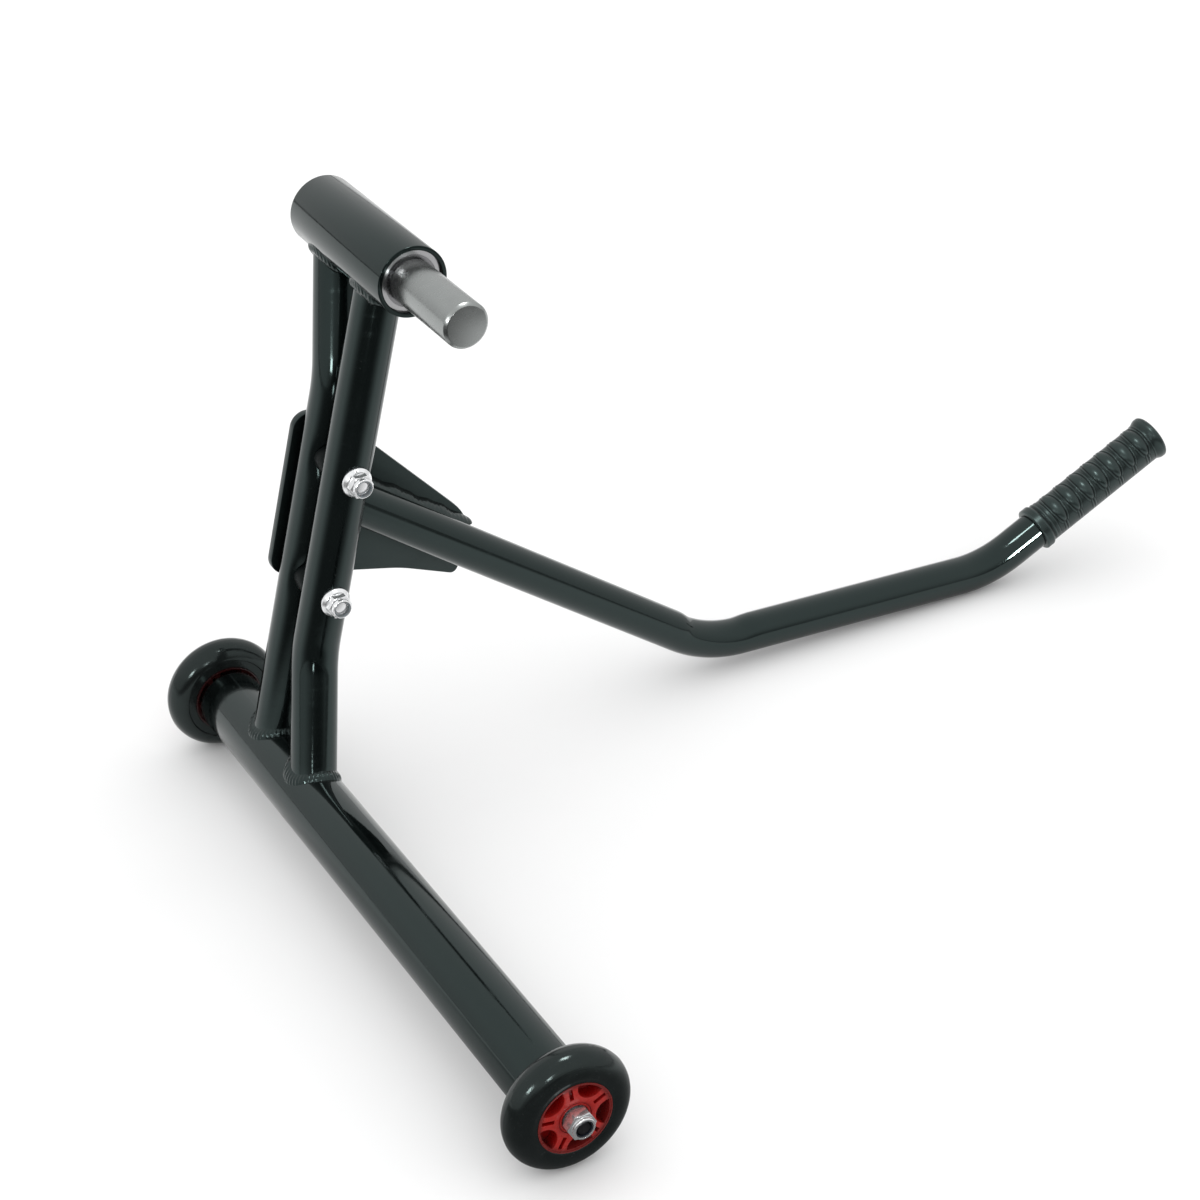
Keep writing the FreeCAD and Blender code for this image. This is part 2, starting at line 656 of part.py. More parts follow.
def flipped(frame):
    return frame * Placement(Vector(), Rotation(X_AXIS, 180))


def both_sides(frames):
    return [side for frame in frames for side in (frame, flipped(frame))]


# ---------------------------------------------------------------- wheels
def tyre_source():
    """Solid tyre with a full round tread and flat sides."""
    tread = doc.addObject("Part::Torus", "tyre_tread")
    bind(tread, Radius1="wheel_radius - wheel_width / 2", Radius2="wheel_width / 2")
    low = Placement(Vector(0, 0, -size("wheel_width") / 2), Rotation())
    drum = part_cylinder("tyre_drum", "wheel_radius - wheel_width / 2", "wheel_width", low)
    whole = doc.addObject("Part::Fuse", "tyre_whole")
    whole.Base = drum
    whole.Tool = tread
    return cut_away("tyre", whole, [part_cylinder("tyre_bore", "core_radius", "wheel_width", low)])


def half_moon(sketch):
    """A pocket outline between the rim and a round that bulges towards the hub."""
    rim = size("core_radius") - size("core_rim_wall")
    bulge = size("pocket_radius")
    half_angle = 2 * math.asin(bulge / 2 / rim)
    corner = Vector(rim * math.cos(half_angle), rim * math.sin(half_angle), 0)
    mirror = Vector(corner.x, -corner.y, 0)
    outer = sketch.addGeometry(Part.Arc(mirror, Vector(rim, 0, 0), corner), False)
    inner = sketch.addGeometry(Part.Arc(corner, Vector(rim - bulge, 0, 0), mirror), False)
    sketch.addConstraint(Sketcher.Constraint("Coincident", outer, 3, -1, 1))
    sketch.addConstraint(Sketcher.Constraint("Coincident", outer, 2, inner, 1))
    sketch.addConstraint(Sketcher.Constraint("Coincident", inner, 2, outer, 1))
    pin_point(sketch, inner, 3, "core_radius - core_rim_wall", "0")
    for arc, value, radius in ((outer, rim, "core_radius - core_rim_wall"),
                               (inner, bulge, "pocket_radius")):
        index = sketch.addConstraint(Sketcher.Constraint("Radius", arc, value))
        sketch.setExpression(f"Constraints[{index}]", with_sheet(radius))


def core_pocket(body, name, draw, side, depth, turn):
    """A pocket sunk into one face of the core and repeated round its axis."""
    sketch = sketch_on(body, "XY_Plane", name)
    face = "(wheel_width / 2 - core_face_step)"
    raise_sketch(sketch, face if side > 0 else "-" + face)
    sketch.AttachmentOffset = Placement(sketch.AttachmentOffset.Base, Rotation(Vector(0, 0, 1), turn))
    draw(sketch)
    doc.recompute()
    pocket = body.newObject("PartDesign::Pocket", name + "_cut")
    pocket.Profile = sketch
    pocket.Type = "Length"
    pocket.Reversed = side < 0
    bind(pocket, Length=depth)
    doc.recompute()
    pattern = body.newObject("PartDesign::PolarPattern", name + "_pattern")
    pattern.Originals = [pocket]
    pattern.Axis = (origin_feature(body, "Z_Axis"), [""])
    pattern.Angle = 360
    bind(pattern, Occurrences="spoke_count")
    body.Tip = pattern
    doc.recompute()


def core_source():
    """Moulded hub: a through bearing seat behind an outer lip, half-moon pockets and slotted spokes."""
    half = "wheel_width / 2"
    step = f"({half} - core_face_step)"
    bearing_face = f"{half} - hub_recess"
    rim = "core_radius - core_rim_wall / 2"
    floor = f"{step} - hub_groove_depth"
    body = turned("wheel_core", [
        ("hub_lip", bearing_face), ("hub_lip", step), ("hub_groove_inner", step),
        ("hub_groove_inner", floor), ("hub_groove_outer", floor), ("hub_groove_outer", step),
        (rim, step), (rim, half), ("core_radius", half), ("core_radius", f"-{half}"),
        (rim, f"-{half}"), (rim, f"-{step}"), ("bearing_outside / 2", f"-{step}"),
        ("bearing_outside / 2", bearing_face),
    ])
    doc.recompute()
    depth = f"{step} - core_web / 2"
    half_turn = 180 / size("spoke_count")

    def slot(sketch):
        outline(sketch, [("slot_inner_radius", "-slot_width / 2"), ("slot_outer_radius", "-slot_width / 2"),
                         ("slot_outer_radius", "slot_width / 2"), ("slot_inner_radius", "slot_width / 2")])

    for side, word in ((1, "outer"), (-1, "inner")):
        core_pocket(body, f"core_{word}_moons", half_moon, side, depth, 0)
        core_pocket(body, f"core_{word}_slots", slot, side, "slot_depth", half_turn)
    return body


def wheels():
    """Both wheels: local Z points outwards, away from the base tube."""
    middle = size("wheelbase") / 2
    half = size("wheel_width") / 2
    bearing_middle = half - size("hub_recess") - size("bearing_width") / 2
    race_face = half - size("hub_recess")
    tyre, core = tyre_source(), core_source()
    bearing = bearing_sources("wheel_bearing", "bearing_bore", "inner_race_outside", "outer_race_inside",
                              "bearing_outside", "bearing_width", "wheel_ball")
    sleeve = ring("wheel_sleeve", "bearing_bore / 2", "inner_race_outside / 2",
                  "hub_recess + bearing_width - wheel_width / 2",
                  "wheel_width / 2 - hub_recess - bearing_width")
    washer = ring("axle_washer_disc", "bearing_bore / 2", "axle_spacer_outside / 2", "0", "axle_washer")
    spacer = ring("axle_spacer_disc", "bearing_bore / 2", "axle_spacer_outside / 2", "0", "axle_spacer")
    bolt = hexagon_bolt("axle_bolt", "axle_bolt_length")
    nut = lock_nut()
    insert = nylon_insert("lock_nut_ring", "lock_nut_collar", "lock_nut_height")
    pitch_radius = (size("inner_race_outside") + size("outer_race_inside")) / 4
    bolt_start = -(race_face + size("axle_spacer") + size("plug_thickness") + size("bolt_head_height"))

    for side, centre in (("near", facing_near(0, -middle, axle_height)),
                         ("far", along_y(0, middle, axle_height))):
        def at(height):
            return centre * Placement(Vector(0, 0, height), Rotation())

        frames = [at(bearing_middle), at(-bearing_middle)]
        group(f"{side}_tyre", tyre, [centre])
        group(f"{side}_wheel_core", core,
              [centre * Placement(Vector(), Rotation(Vector(0, 0, 1), size("core_phase")))])
        group(f"{side}_outer_races", bearing["outer"], frames)
        group(f"{side}_shields", bearing["shield"], both_sides(frames))
        group(f"{side}_balls", bearing["ball"],
              ball_places(frames, pitch_radius, int(size("wheel_ball_count"))))
        group(f"{side}_inner_races", bearing["inner"], frames)
        group(f"{side}_bearing_sleeve", sleeve, [centre])
        group(f"{side}_axle_spacer", spacer, [at(-race_face - size("axle_spacer"))])
        group(f"{side}_axle_washer", washer, [at(race_face)])
        group(f"{side}_axle_bolt", bolt, [at(bolt_start)])
        group(f"{side}_lock_nut", nut, [at(race_face + size("axle_washer"))])
        group(f"{side}_lock_nut_ring", insert, [at(race_face + size("axle_washer"))])


# ---------------------------------------------------------------- head bearings and axle pin
def axle_pin():
    """The plain pin outside the head, its shaft through both bearings, tapped at the far end.

    Local zero is the near mouth of the head tube and Z runs into the tube.
    """
    shaft = "head_bearing_bore / 2 - pin_clearance"
    shaft_end = "head_length - head_bearing_inset - pin_shaft_short"
    thread = "bolt_diameter / 2 + thread_gap"
    thread_floor = f"{shaft_end} - screw_length"
    pin = turned("axle_pin", [
        ("0", "-pin_length"), ("pin_diameter / 2 - pin_chamfer", "-pin_length"),
        ("pin_diameter / 2", "-pin_length + pin_chamfer"), ("pin_diameter / 2", "0"),
        ("pin_diameter / 2 - pin_shoulder", "head_bearing_inset"), (shaft, "head_bearing_inset"),
        (shaft, shaft_end), (thread, shaft_end), (thread, thread_floor), ("0", thread_floor),
    ])
    keep(pin, "axle_pin", along_y(head_axis.x, size("head_near_y"), head_axis.z))


def cap_screw():
    """Socket cap screw: shank up local Z, the head below zero."""
    head = "screw_head_diameter / 2"
    screw = turned("cap_screw", [
        ("0", "-screw_head_height"), (f"{head} - screw_head_edge", "-screw_head_height"),
        (head, "-screw_head_height + screw_head_edge"), (head, "0"), ("bolt_diameter / 2", "0"),
        ("bolt_diameter / 2", "screw_length - thread_end"),
        ("bolt_diameter / 2 - thread_end", "screw_length"), ("0", "screw_length"),
    ])
    doc.recompute()
    sketch = sketch_on(screw, "XY_Plane", "cap_screw_socket")
    raise_sketch(sketch, "-screw_head_height")
    hexagon(sketch, "screw_socket")
    doc.recompute()
    socket = screw.newObject("PartDesign::Pocket", "cap_screw_socket_cut")
    socket.Profile = sketch
    socket.Type = "Length"
    socket.Reversed = True
    bind(socket, Length="screw_socket_depth")
    keep(screw, "cap_screw", facing_near(head_axis.x, head_far_y, head_axis.z))


def head_bearings():
    bearing = bearing_sources("head_bearing", "head_bearing_bore", "head_inner_race_outside",
                              "head_outer_race_inside", "head_bearing_outside", "head_bearing_width",
                              "head_ball")
    middle = size("head_bearing_inset") + size("head_bearing_width") / 2
    frames = [along_y(head_axis.x, size("head_near_y") + middle, head_axis.z),
              along_y(head_axis.x, head_far_y - middle, head_axis.z)]
    pitch_radius = (size("head_inner_race_outside") + size("head_outer_race_inside")) / 4
    group("head_outer_races", bearing["outer"], frames)
    group("head_shields", bearing["shield"], both_sides(frames))
    group("head_balls", bearing["ball"], ball_places(frames, pitch_radius, int(size("head_ball_count"))))
    group("head_inner_races", bearing["inner"], frames)
    seat = "head_bearing_inset + head_bearing_width"
    sleeve = ring("head_sleeve", "head_bearing_bore / 2", "head_inner_race_outside / 2",
                  seat, f"head_length - ({seat})")
    keep(sleeve, "head_sleeve", along_y(head_axis.x, size("head_near_y"), head_axis.z))
    disc = ring("end_disc", "bolt_diameter / 2 + washer_gap", "disc_diameter / 2",
                "0", "head_bearing_inset")
    keep(disc, "end_disc", facing_near(head_axis.x, head_far_y, head_axis.z))


# ---------------------------------------------------------------- welds
def saddle_weld(name, leg_y, tilt, upwards, height, tube_diameter):
    """The bead where a leg meets a cross tube, as the ring between two enlarged cylinders."""
    turn = Rotation(X_AXIS, tilt) if upwards else Rotation(X_AXIS, 180 + tilt)
    foot = Placement(Vector(0, leg_y, height), turn)
    across = along_y(0, leg_y - size("head_length"), height)
    reach = "2 * head_length"
    leg = part_cylinder(name + "_leg", "upright_diameter / 2 + weld_size", tube_diameter, foot)
    wrap = part_cylinder(name + "_wrap", f"{tube_diameter} / 2 + weld_size", reach, across)
    both = doc.addObject("Part::Common", name + "_both")
    both.Base = leg
    both.Tool = wrap
    return cut_away(name, both, [
        part_cylinder(name + "_leg_hole", "upright_diameter / 2", tube_diameter, foot),
        part_cylinder(name + "_tube_hole", f"{tube_diameter} / 2", reach, across),
    ])


def upright_welds():
    tilt = math.degrees(math.atan2(size("knee_offset"), size("knee_height")))
    front, rear = size("front_upright_y"), rear_upright_y
    offset = size("knee_offset")
    frame = Placement(on_lean(0, 0), Rotation(Y_AXIS, size("lean")))
    feet = [saddle_weld("front_foot_weld", front - offset, -tilt, True, 0, "base_diameter"),
            saddle_weld("rear_foot_weld", rear, 0, True, 0, "base_diameter")]
    tops = [saddle_weld("front_head_weld", front, 0, False, size("head_height"), "head_diameter"),
            saddle_weld("rear_head_weld", rear + offset, -tilt, False, size("head_height"),
                        "head_diameter")]
    for label, beads in (("foot_welds", feet), ("head_welds", tops)):
        compound = doc.addObject("Part::Compound", label)
        compound.Links = beads
        keep(compound, label, frame)


def lever_welds():
    """A bead down each side of the lever, filling the corner between the tube and the plate."""
    beads = []
    half = size("lever_diameter") / 2
    for word, low in (("upper", size("lever_weld_inner")), ("lower", -size("lever_weld_outer"))):
        box = doc.addObject("Part::Box", f"{word}_weld_stock")
        bind(box, Length="lever_weld_length", Width="lever_weld_depth",
             Height="lever_weld_outer - lever_weld_inner")
        box.Placement = Placement(Vector(size("lever_weld_start"), half - size("lever_weld_depth"), low),
                                  Rotation())
        tube = part_cylinder(f"{word}_weld_tube", "lever_diameter / 2", "lever_leg_length",
                             Placement(Vector(), Rotation(Y_AXIS, 90)))
        beads.append(cut_away(f"{word}_weld", box, [tube]))
    compound = doc.addObject("Part::Compound", "lever_welds")
    compound.Links = beads
    keep(compound, "lever_welds", Placement(lever_corners()[0], Rotation(Y_AXIS, size("lever_slope"))))


# ---------------------------------------------------------------- build and write
base_tube()
base_end_plugs()
head_tube()
uprights()
upright_spacers()
upright_welds()
bracket_plate()
bracket_fasteners()
lever_tube()
lever_welds()
lever_grip()
wheels()
head_bearings()
axle_pin()
cap_screw()
doc.recompute()

front = min(obj.Shape.optimalBoundingBox(False, False).XMin for obj in subparts)
back = max(obj.Shape.optimalBoundingBox(False, False).XMax for obj in subparts)
to_middle = Placement(Vector(-(front + back) / 2, 0, 0), Rotation())
for obj in subparts:
    obj.Placement = to_middle * obj.Placement
doc.recompute()
print(f"axle line at x = {to_middle.Base.x:.3f}")

for obj in doc.Objects:
    if "Invalid" in obj.State or "Error" in obj.State:
        raise RuntimeError(f"{obj.Name} failed: {obj.State}")
for obj in subparts:
    if obj.Shape.isNull() or not obj.Shape.isValid() or not obj.Shape.Solids:
        raise RuntimeError(f"{obj.Label} has no valid shape")

os.makedirs("parts", exist_ok=True)
for obj in subparts:
    obj.Shape.exportStep(f"parts/{obj.Label}.step")
    print(f"{obj.Label}: {len(obj.Shape.Solids)} solids, {obj.Shape.Volume:.0f} mm3")
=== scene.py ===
"""Looks of the paddock stand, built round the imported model. Metres, Z up, the model's own frame."""

import json
import math

import bmesh
import bpy
from mathutils import Matrix, Vector

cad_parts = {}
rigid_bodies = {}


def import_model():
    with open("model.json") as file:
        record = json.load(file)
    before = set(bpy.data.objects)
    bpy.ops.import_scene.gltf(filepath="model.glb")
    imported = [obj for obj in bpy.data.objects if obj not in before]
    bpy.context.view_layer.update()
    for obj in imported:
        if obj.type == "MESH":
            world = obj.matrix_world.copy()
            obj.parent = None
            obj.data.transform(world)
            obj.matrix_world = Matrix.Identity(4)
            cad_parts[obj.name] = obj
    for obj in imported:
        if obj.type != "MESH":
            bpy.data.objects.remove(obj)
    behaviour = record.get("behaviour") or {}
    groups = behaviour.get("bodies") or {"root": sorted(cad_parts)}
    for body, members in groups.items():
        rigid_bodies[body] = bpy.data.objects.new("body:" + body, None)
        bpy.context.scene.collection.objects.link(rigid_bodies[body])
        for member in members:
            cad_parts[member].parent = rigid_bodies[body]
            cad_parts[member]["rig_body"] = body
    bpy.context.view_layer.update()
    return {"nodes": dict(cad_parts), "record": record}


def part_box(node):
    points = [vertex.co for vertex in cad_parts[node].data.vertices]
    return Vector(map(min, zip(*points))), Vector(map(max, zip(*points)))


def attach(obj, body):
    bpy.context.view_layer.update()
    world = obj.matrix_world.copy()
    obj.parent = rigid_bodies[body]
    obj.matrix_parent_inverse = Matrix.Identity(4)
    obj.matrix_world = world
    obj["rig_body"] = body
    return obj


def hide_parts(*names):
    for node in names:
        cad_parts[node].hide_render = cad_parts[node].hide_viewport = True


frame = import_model()

MM = 0.001
TAU = 2 * math.pi
ACROSS = Vector((0, 1, 0))

# ---------------------------------------------------------------- places taken from the frame
base_low, base_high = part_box("base_tube")
head_low, head_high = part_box("head_tube")
front_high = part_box("front_upright")[1]
rear_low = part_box("rear_upright")[0]
plate_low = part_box("bracket_plate")[0]

AXLE = Vector(((base_low.x + base_high.x) / 2, 0, (base_low.z + base_high.z) / 2))
HEAD = Vector(((head_low.x + head_high.x) / 2, 0, (head_low.z + head_high.z) / 2))
BASE_RADIUS = (base_high.z - base_low.z) / 2
HEAD_RADIUS = (head_high.z - head_low.z) / 2
HEAD_HEIGHT = (HEAD - AXLE).length
UP_LEAN = (HEAD - AXLE).normalized()
UPRIGHT_RADIUS = 16 * MM
FRONT_Y = front_high.y - UPRIGHT_RADIUS
REAR_Y = rear_low.y + UPRIGHT_RADIUS
LEVER_RADIUS = 15 * MM
LEVER_Y = plate_low.y - LEVER_RADIUS

# ---------------------------------------------------------------- sizes of the looks
UPRIGHT_WALL = 2.5 * MM
LEVER_WALL = 2.5 * MM
BASE_WALL = 2.6 * MM
TUBE_STEP = 3 * MM
TUBE_SEGMENTS = 72
EDGE = 0.5 * MM
KNEE_HEIGHT = 97 * MM
KNEE_OFFSET = 34.4 * MM
UPRIGHT_BEND = 80 * MM
BOLT_HEIGHTS = (143.5 * MM, 231.5 * MM)
LEVER_BEND = 104 * MM
LEVER_START = AXLE + Vector((68 * MM, LEVER_Y, 183.8 * MM))
LEVER_SLOPES = (34.94, 1.9, -26.89)
LEVER_LENGTHS = (354.2 * MM, 265.3 * MM, 178.8 * MM)
WHEEL_MIDDLE = 259 * MM


# ---------------------------------------------------------------- mesh helpers
def finished(name, verts, faces, material, body, slot, replaced, sharp=35):
    """A smooth-shaded piece that rides on a body and stands for the CAD nodes it replaces."""
    mesh = bpy.data.meshes.new(name)
    mesh.from_pydata([tuple(v) for v in verts], [], faces)
    shell = bmesh.new()
    shell.from_mesh(mesh)
    bmesh.ops.remove_doubles(shell, verts=shell.verts, dist=1e-7)
    bmesh.ops.recalc_face_normals(shell, faces=shell.faces)
    shell.to_mesh(mesh)
    shell.free()
    mesh.shade_smooth()
    mesh.set_sharp_from_angle(angle=math.radians(sharp))
    mesh.materials.append(material)
    piece = bpy.data.objects.new(name, mesh)
    bpy.context.scene.collection.objects.link(piece)
    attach(piece, body)
    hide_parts(*replaced)


def loft(rings, closed=False):
    """Faces between equal rings of points. closed joins the last to the first; otherwise both are capped."""
    count = len(rings[0])
    verts = [point for ring in rings for point in ring]
    faces = []
    for i in range(len(rings) if closed else len(rings) - 1):
        a, b = i * count, (i + 1) % len(rings) * count
        for j in range(count):
            k = (j + 1) % count
            faces.append((a + j, a + k, b + k, b + j))
    if not closed:
        faces.append(tuple(range(count)))
        faces.append(tuple(range(len(verts) - count, len(verts))))
    return verts, faces


def merged(*shells):
    """Several (verts, faces) pairs as one."""
    verts, faces = [], []
    for more_verts, more_faces in shells:
        start = len(verts)
        verts += more_verts
        faces += [tuple(start + i for i in face) for face in more_faces]
    return verts, faces


def eased(profile, radius):
    """A closed profile of (radius, height) corners, each corner rounded."""
    steps = 3
    longest_share = 0.45
    points = [Vector(corner) for corner in profile]
    result = []
    for i, corner in enumerate(points):
        before = points[i - 1] - corner
        after = points[(i + 1) % len(points)] - corner
        reach = min(radius, before.length * longest_share, after.length * longest_share)
        start = corner + before.normalized() * reach
        end = corner + after.normalized() * reach
        for step in range(steps + 1):
            t = step / steps
            result.append(start * (1 - t) ** 2 + corner * (2 * t * (1 - t)) + end * t ** 2)
    return result


def lathe(profile, place, segments):
    """A closed profile of (radius, height) turned about local Z."""
    turned = []
    for radius, height in profile:
        ring = []
        for j in range(segments):
            turn = TAU * j / segments
            ring.append(place @ Vector((radius * math.cos(turn), radius * math.sin(turn), height)))
        turned.append(ring)
    return loft(turned, closed=True)


def along_y(point, sign=1):
    """Local Z along +Y or -Y, local X along world X, from a point."""
    return Matrix.Translation(point) @ Matrix.Rotation(-sign * math.pi / 2, 4, "X")


def bent_path(corners, radius):
    """Points and directions along straight legs with equal rounds at the inner corners."""
    path = []
    start = corners[0]
    for i in range(1, len(corners)):
        heading = (corners[i] - corners[i - 1]).normalized()
        end = corners[i]
        bends = i < len(corners) - 1
        if bends:
            leaving = (corners[i + 1] - corners[i]).normalized()
            angle = heading.angle(leaving)
            end = corners[i] - heading * (radius * math.tan(angle / 2))
        count = max(2, round((end - start).length / TUBE_STEP))
        path += [(start + (end - start) * (j / count), heading) for j in range(count + 1)]
        if bends:
            axis = heading.cross(leaving).normalized()
            centre = end + axis.cross(heading) * radius
            turns = max(3, round(radius * angle / TUBE_STEP))
            for j in range(1, turns):
                spin = Matrix.Rotation(angle * j / turns, 3, axis)
                path.append((centre + spin @ (end - centre), spin @ heading))
            start = centre + Matrix.Rotation(angle, 3, axis) @ (end - centre)
    return path


def tube(path, side, radius, wall, dent, ends=(None, None)):
    """A hollow tube along a flat path. side is the path's plane normal.

    dent(distance, turn) changes the outer radius. ends are functions that give how far a point of the
    first or last ring moves along the path's direction there.
    """
    outer, inner = [], []
    travelled = 0
    for i, (centre, heading) in enumerate(path):
        if i:
            travelled += (centre - path[i - 1][0]).length
        lift = side.cross(heading)
        push = ends[0] if i == 0 else ends[1] if i == len(path) - 1 else None
        rings = ([], [])
        for j in range(TUBE_SEGMENTS):
            turn = TAU * j / TUBE_SEGMENTS
            out = side * math.cos(turn) + lift * math.sin(turn)
            change = dent(travelled, turn)
            for ring, size in zip(rings, (radius + change, radius + change - wall)):
                spot = centre + out * size
                ring.append(spot + heading * push(spot, heading) if push else spot)
        outer.append(rings[0])
        inner.append(rings[1])
    return loft(outer + inner[::-1], closed=True)


def onto_cylinder(axis_point, radius, sign):
    """How far a point goes along a heading to reach a cylinder along Y."""
    def push(spot, heading):
        flat = Vector((spot.x - axis_point.x, spot.z - axis_point.z))
        way = Vector((heading.x, heading.z))
        a, b, c = way.dot(way), flat.dot(way), flat.dot(flat) - radius ** 2
        return (-b + sign * math.sqrt(max(0, b * b - a * c))) / a
    return push


def hill(distance, centre, width):
    """A smooth hill of height 1."""
    return math.exp(-((distance - centre) / width) ** 2)


def ramp(value, low, high):
    """0 below low, 1 above high, smooth between."""
    t = min(1, max(0, (value - low) / (high - low)))
    return t * t * (3 - 2 * t)


# ---------------------------------------------------------------- node helpers
def rgb(red, green, blue):
    return (red, green, blue, 1)


class Graph:
    """Nodes added to a tree call by call. A value can also be another node's output."""

    def __init__(self, tree):
        self.nodes = tree.nodes
        self.links = tree.links

    def put(self, node, key, value):
        if isinstance(value, bpy.types.NodeSocket):
            self.links.new(value, node.inputs[key])
        else:
            node.inputs[key].default_value = value

    def add(self, kind, settings=None, **inputs):
        node = self.nodes.new(kind)
        for key, value in (settings or {}).items():
            setattr(node, key, value)
        for key, value in inputs.items():
            self.put(node, key.replace("_", " "), value)
        return node

    def remap(self, value, low, high, to_low, to_high):
        """low to high becomes to_low to to_high, smooth between and flat outside."""
        return self.add("ShaderNodeMapRange", {"interpolation_type": "SMOOTHSTEP"}, Value=value,
                        From_Min=low, From_Max=high, To_Min=to_low, To_Max=to_high).outputs["Result"]

    def math(self, operation, first, second=0.0):
        node = self.add("ShaderNodeMath", {"operation": operation})
        self.put(node, 0, first)
        self.put(node, 1, second)
        return node.outputs[0]

    def vector(self, operation, first, second=(0, 0, 0), result="Vector"):
        node = self.add("ShaderNodeVectorMath", {"operation": operation})
        self.put(node, 0, first)
        self.put(node, 1, second)
        return node.outputs[result]

    def along(self, vector, way):
        """How far a vector goes in a direction."""
        return self.vector("DOT_PRODUCT", vector, way, "Value")

    def length(self, vector):
        return self.vector("LENGTH", vector, result="Value")

    def choose(self, switch, otherwise, chosen):
        node = self.add("ShaderNodeMix", {"data_type": "FLOAT"})
        self.put(node, 0, switch)
        self.put(node, 2, otherwise)
        self.put(node, 3, chosen)
        return node.outputs[0]


class Shader(Graph):
    """A surface material on the object's own coordinates."""

    def __init__(self, name, **inputs):
        self.material = bpy.data.materials.new(name)
        self.material.use_nodes = True
        super().__init__(self.material.node_tree)
        self.surface = self.nodes["Principled BSDF"]
        for key, value in inputs.items():
            self.put(self.surface, key.replace("_", " "), value)
        self.place = self.add("ShaderNodeTexCoord").outputs["Object"]

    def moved(self, **inputs):
        """The coordinates after a Scale and then a Location."""
        return self.add("ShaderNodeMapping", Vector=self.place, **inputs).outputs["Vector"]

    def noise(self, size, detail=4, place=None):
        """Noise from 0 to 1 with features of a given size in metres."""
        return self.add("ShaderNodeTexNoise", Vector=place or self.place, Scale=1 / size, Detail=detail,
                        Roughness=0.55).outputs["Fac"]

    def mix(self, share, first, second):
        node = self.add("ShaderNodeMix", {"data_type": "RGBA"})
        self.put(node, 0, share)
        self.put(node, 6, first)
        self.put(node, 7, second)
        return node.outputs[2]

    def openness(self, reach):
        """0 deep in a corner, 1 in the open."""
        return self.add("ShaderNodeAmbientOcclusion", {"samples": 12}, Distance=reach).outputs["AO"]

    def crest(self):
        """Above a half on an outer edge, below it in a groove."""
        return self.add("ShaderNodeNewGeometry").outputs["Pointiness"]

    def rings(self, centre, pitch):
        """Fine rings round an axis along Y through a centre."""
        noise_lines = 3.2
        place = self.moved(Location=-centre)
        wave = self.add("ShaderNodeTexWave", {"wave_type": "RINGS", "rings_direction": "Y"},
                        Vector=place, Scale=1 / pitch / noise_lines, Distortion=0.6, Detail=2.0)
        return wave.outputs["Fac"]

    def bump(self, *layers):
        """Height layers of (value, height in metres), one on top of another."""
        normal = None
        for value, height in layers:
            node = self.add("ShaderNodeBump", Strength=1.0, Distance=height, Height=value)
            if normal:
                self.put(node, "Normal", normal)
            normal = node.outputs["Normal"]
        self.put(self.surface, "Normal", normal)

    def set(self, **inputs):
        for key, value in inputs.items():
            self.put(self.surface, key.replace("_", " "), value)
        return self.material


# ---------------------------------------------------------------- materials
COAT_TINT = rgb(0.74, 1.0, 0.97)
# Reach and openness range of the painted shade that dims reflections in corners
CORNER_REACH = 30 * MM
CORNER_OPENNESS = (0.25, 0.85)


def paint(name, peel, dust, satin=0.0, shine=0.5):
    """Glossy black powder coat: fine orange peel, a little dust and duller patches, edges worn lighter, and
    painted shade that dims its reflection in corners.
    """
    shader = Shader(name, IOR=1.5, Specular_Tint=COAT_TINT)
    cloud = shader.noise(0.06, detail=5)
    grain = shader.noise(2.2 * MM, detail=2)
    specks = shader.remap(shader.noise(1.1 * MM, detail=1), 0.70, 0.78, 0, dust)
    worn = shader.remap(shader.crest(), 0.53, 0.62, 0, 0.5)
    coat = shader.mix(cloud, rgb(0.0012, 0.0019, 0.0019), rgb(0.0030, 0.0042, 0.0042))
    coat = shader.mix(worn, coat, rgb(0.02, 0.026, 0.026))
    coat = shader.mix(specks, coat, rgb(0.09, 0.10, 0.10))
    streaks = shader.noise(0.02, place=shader.moved(Scale=(1, 1, 5)))
    scuffs = shader.remap(streaks, 0.52, 0.75, 0, 0.10)
    gloss = shader.math("ADD", shader.remap(cloud, 0.3, 0.7, 0.055 + satin, 0.12 + satin), scuffs)
    # painted shade: the reflection is dimmed where corners close in, down to a fifth of shine
    shaded_sheen = shader.remap(shader.openness(CORNER_REACH), *CORNER_OPENNESS, 0.2 * shine, shine)
    shader.bump((grain, peel), (cloud, 0.15 * MM))
    return shader.set(Base_Color=coat, Roughness=gloss, Specular_IOR_Level=shaded_sheen)


def weld_paint():
    """The same coat over a rougher bead, with painted shade that dims its reflection in corners."""
    shader = Shader("weld_coat", IOR=1.5, Specular_Tint=COAT_TINT)
    lumps = shader.noise(2.4 * MM)
    coat = shader.mix(lumps, rgb(0.0015, 0.0022, 0.0022), rgb(0.005, 0.0065, 0.0065))
    gloss = shader.remap(lumps, 0.3, 0.7, 0.06, 0.18)
    # painted shade: the reflection is dimmed in corners
    shaded_sheen = shader.remap(shader.openness(CORNER_REACH), *CORNER_OPENNESS, 0.10, 0.5)
    shader.bump((lumps, 0.25 * MM))
    return shader.set(Base_Color=coat, Roughness=gloss, Specular_IOR_Level=shaded_sheen)


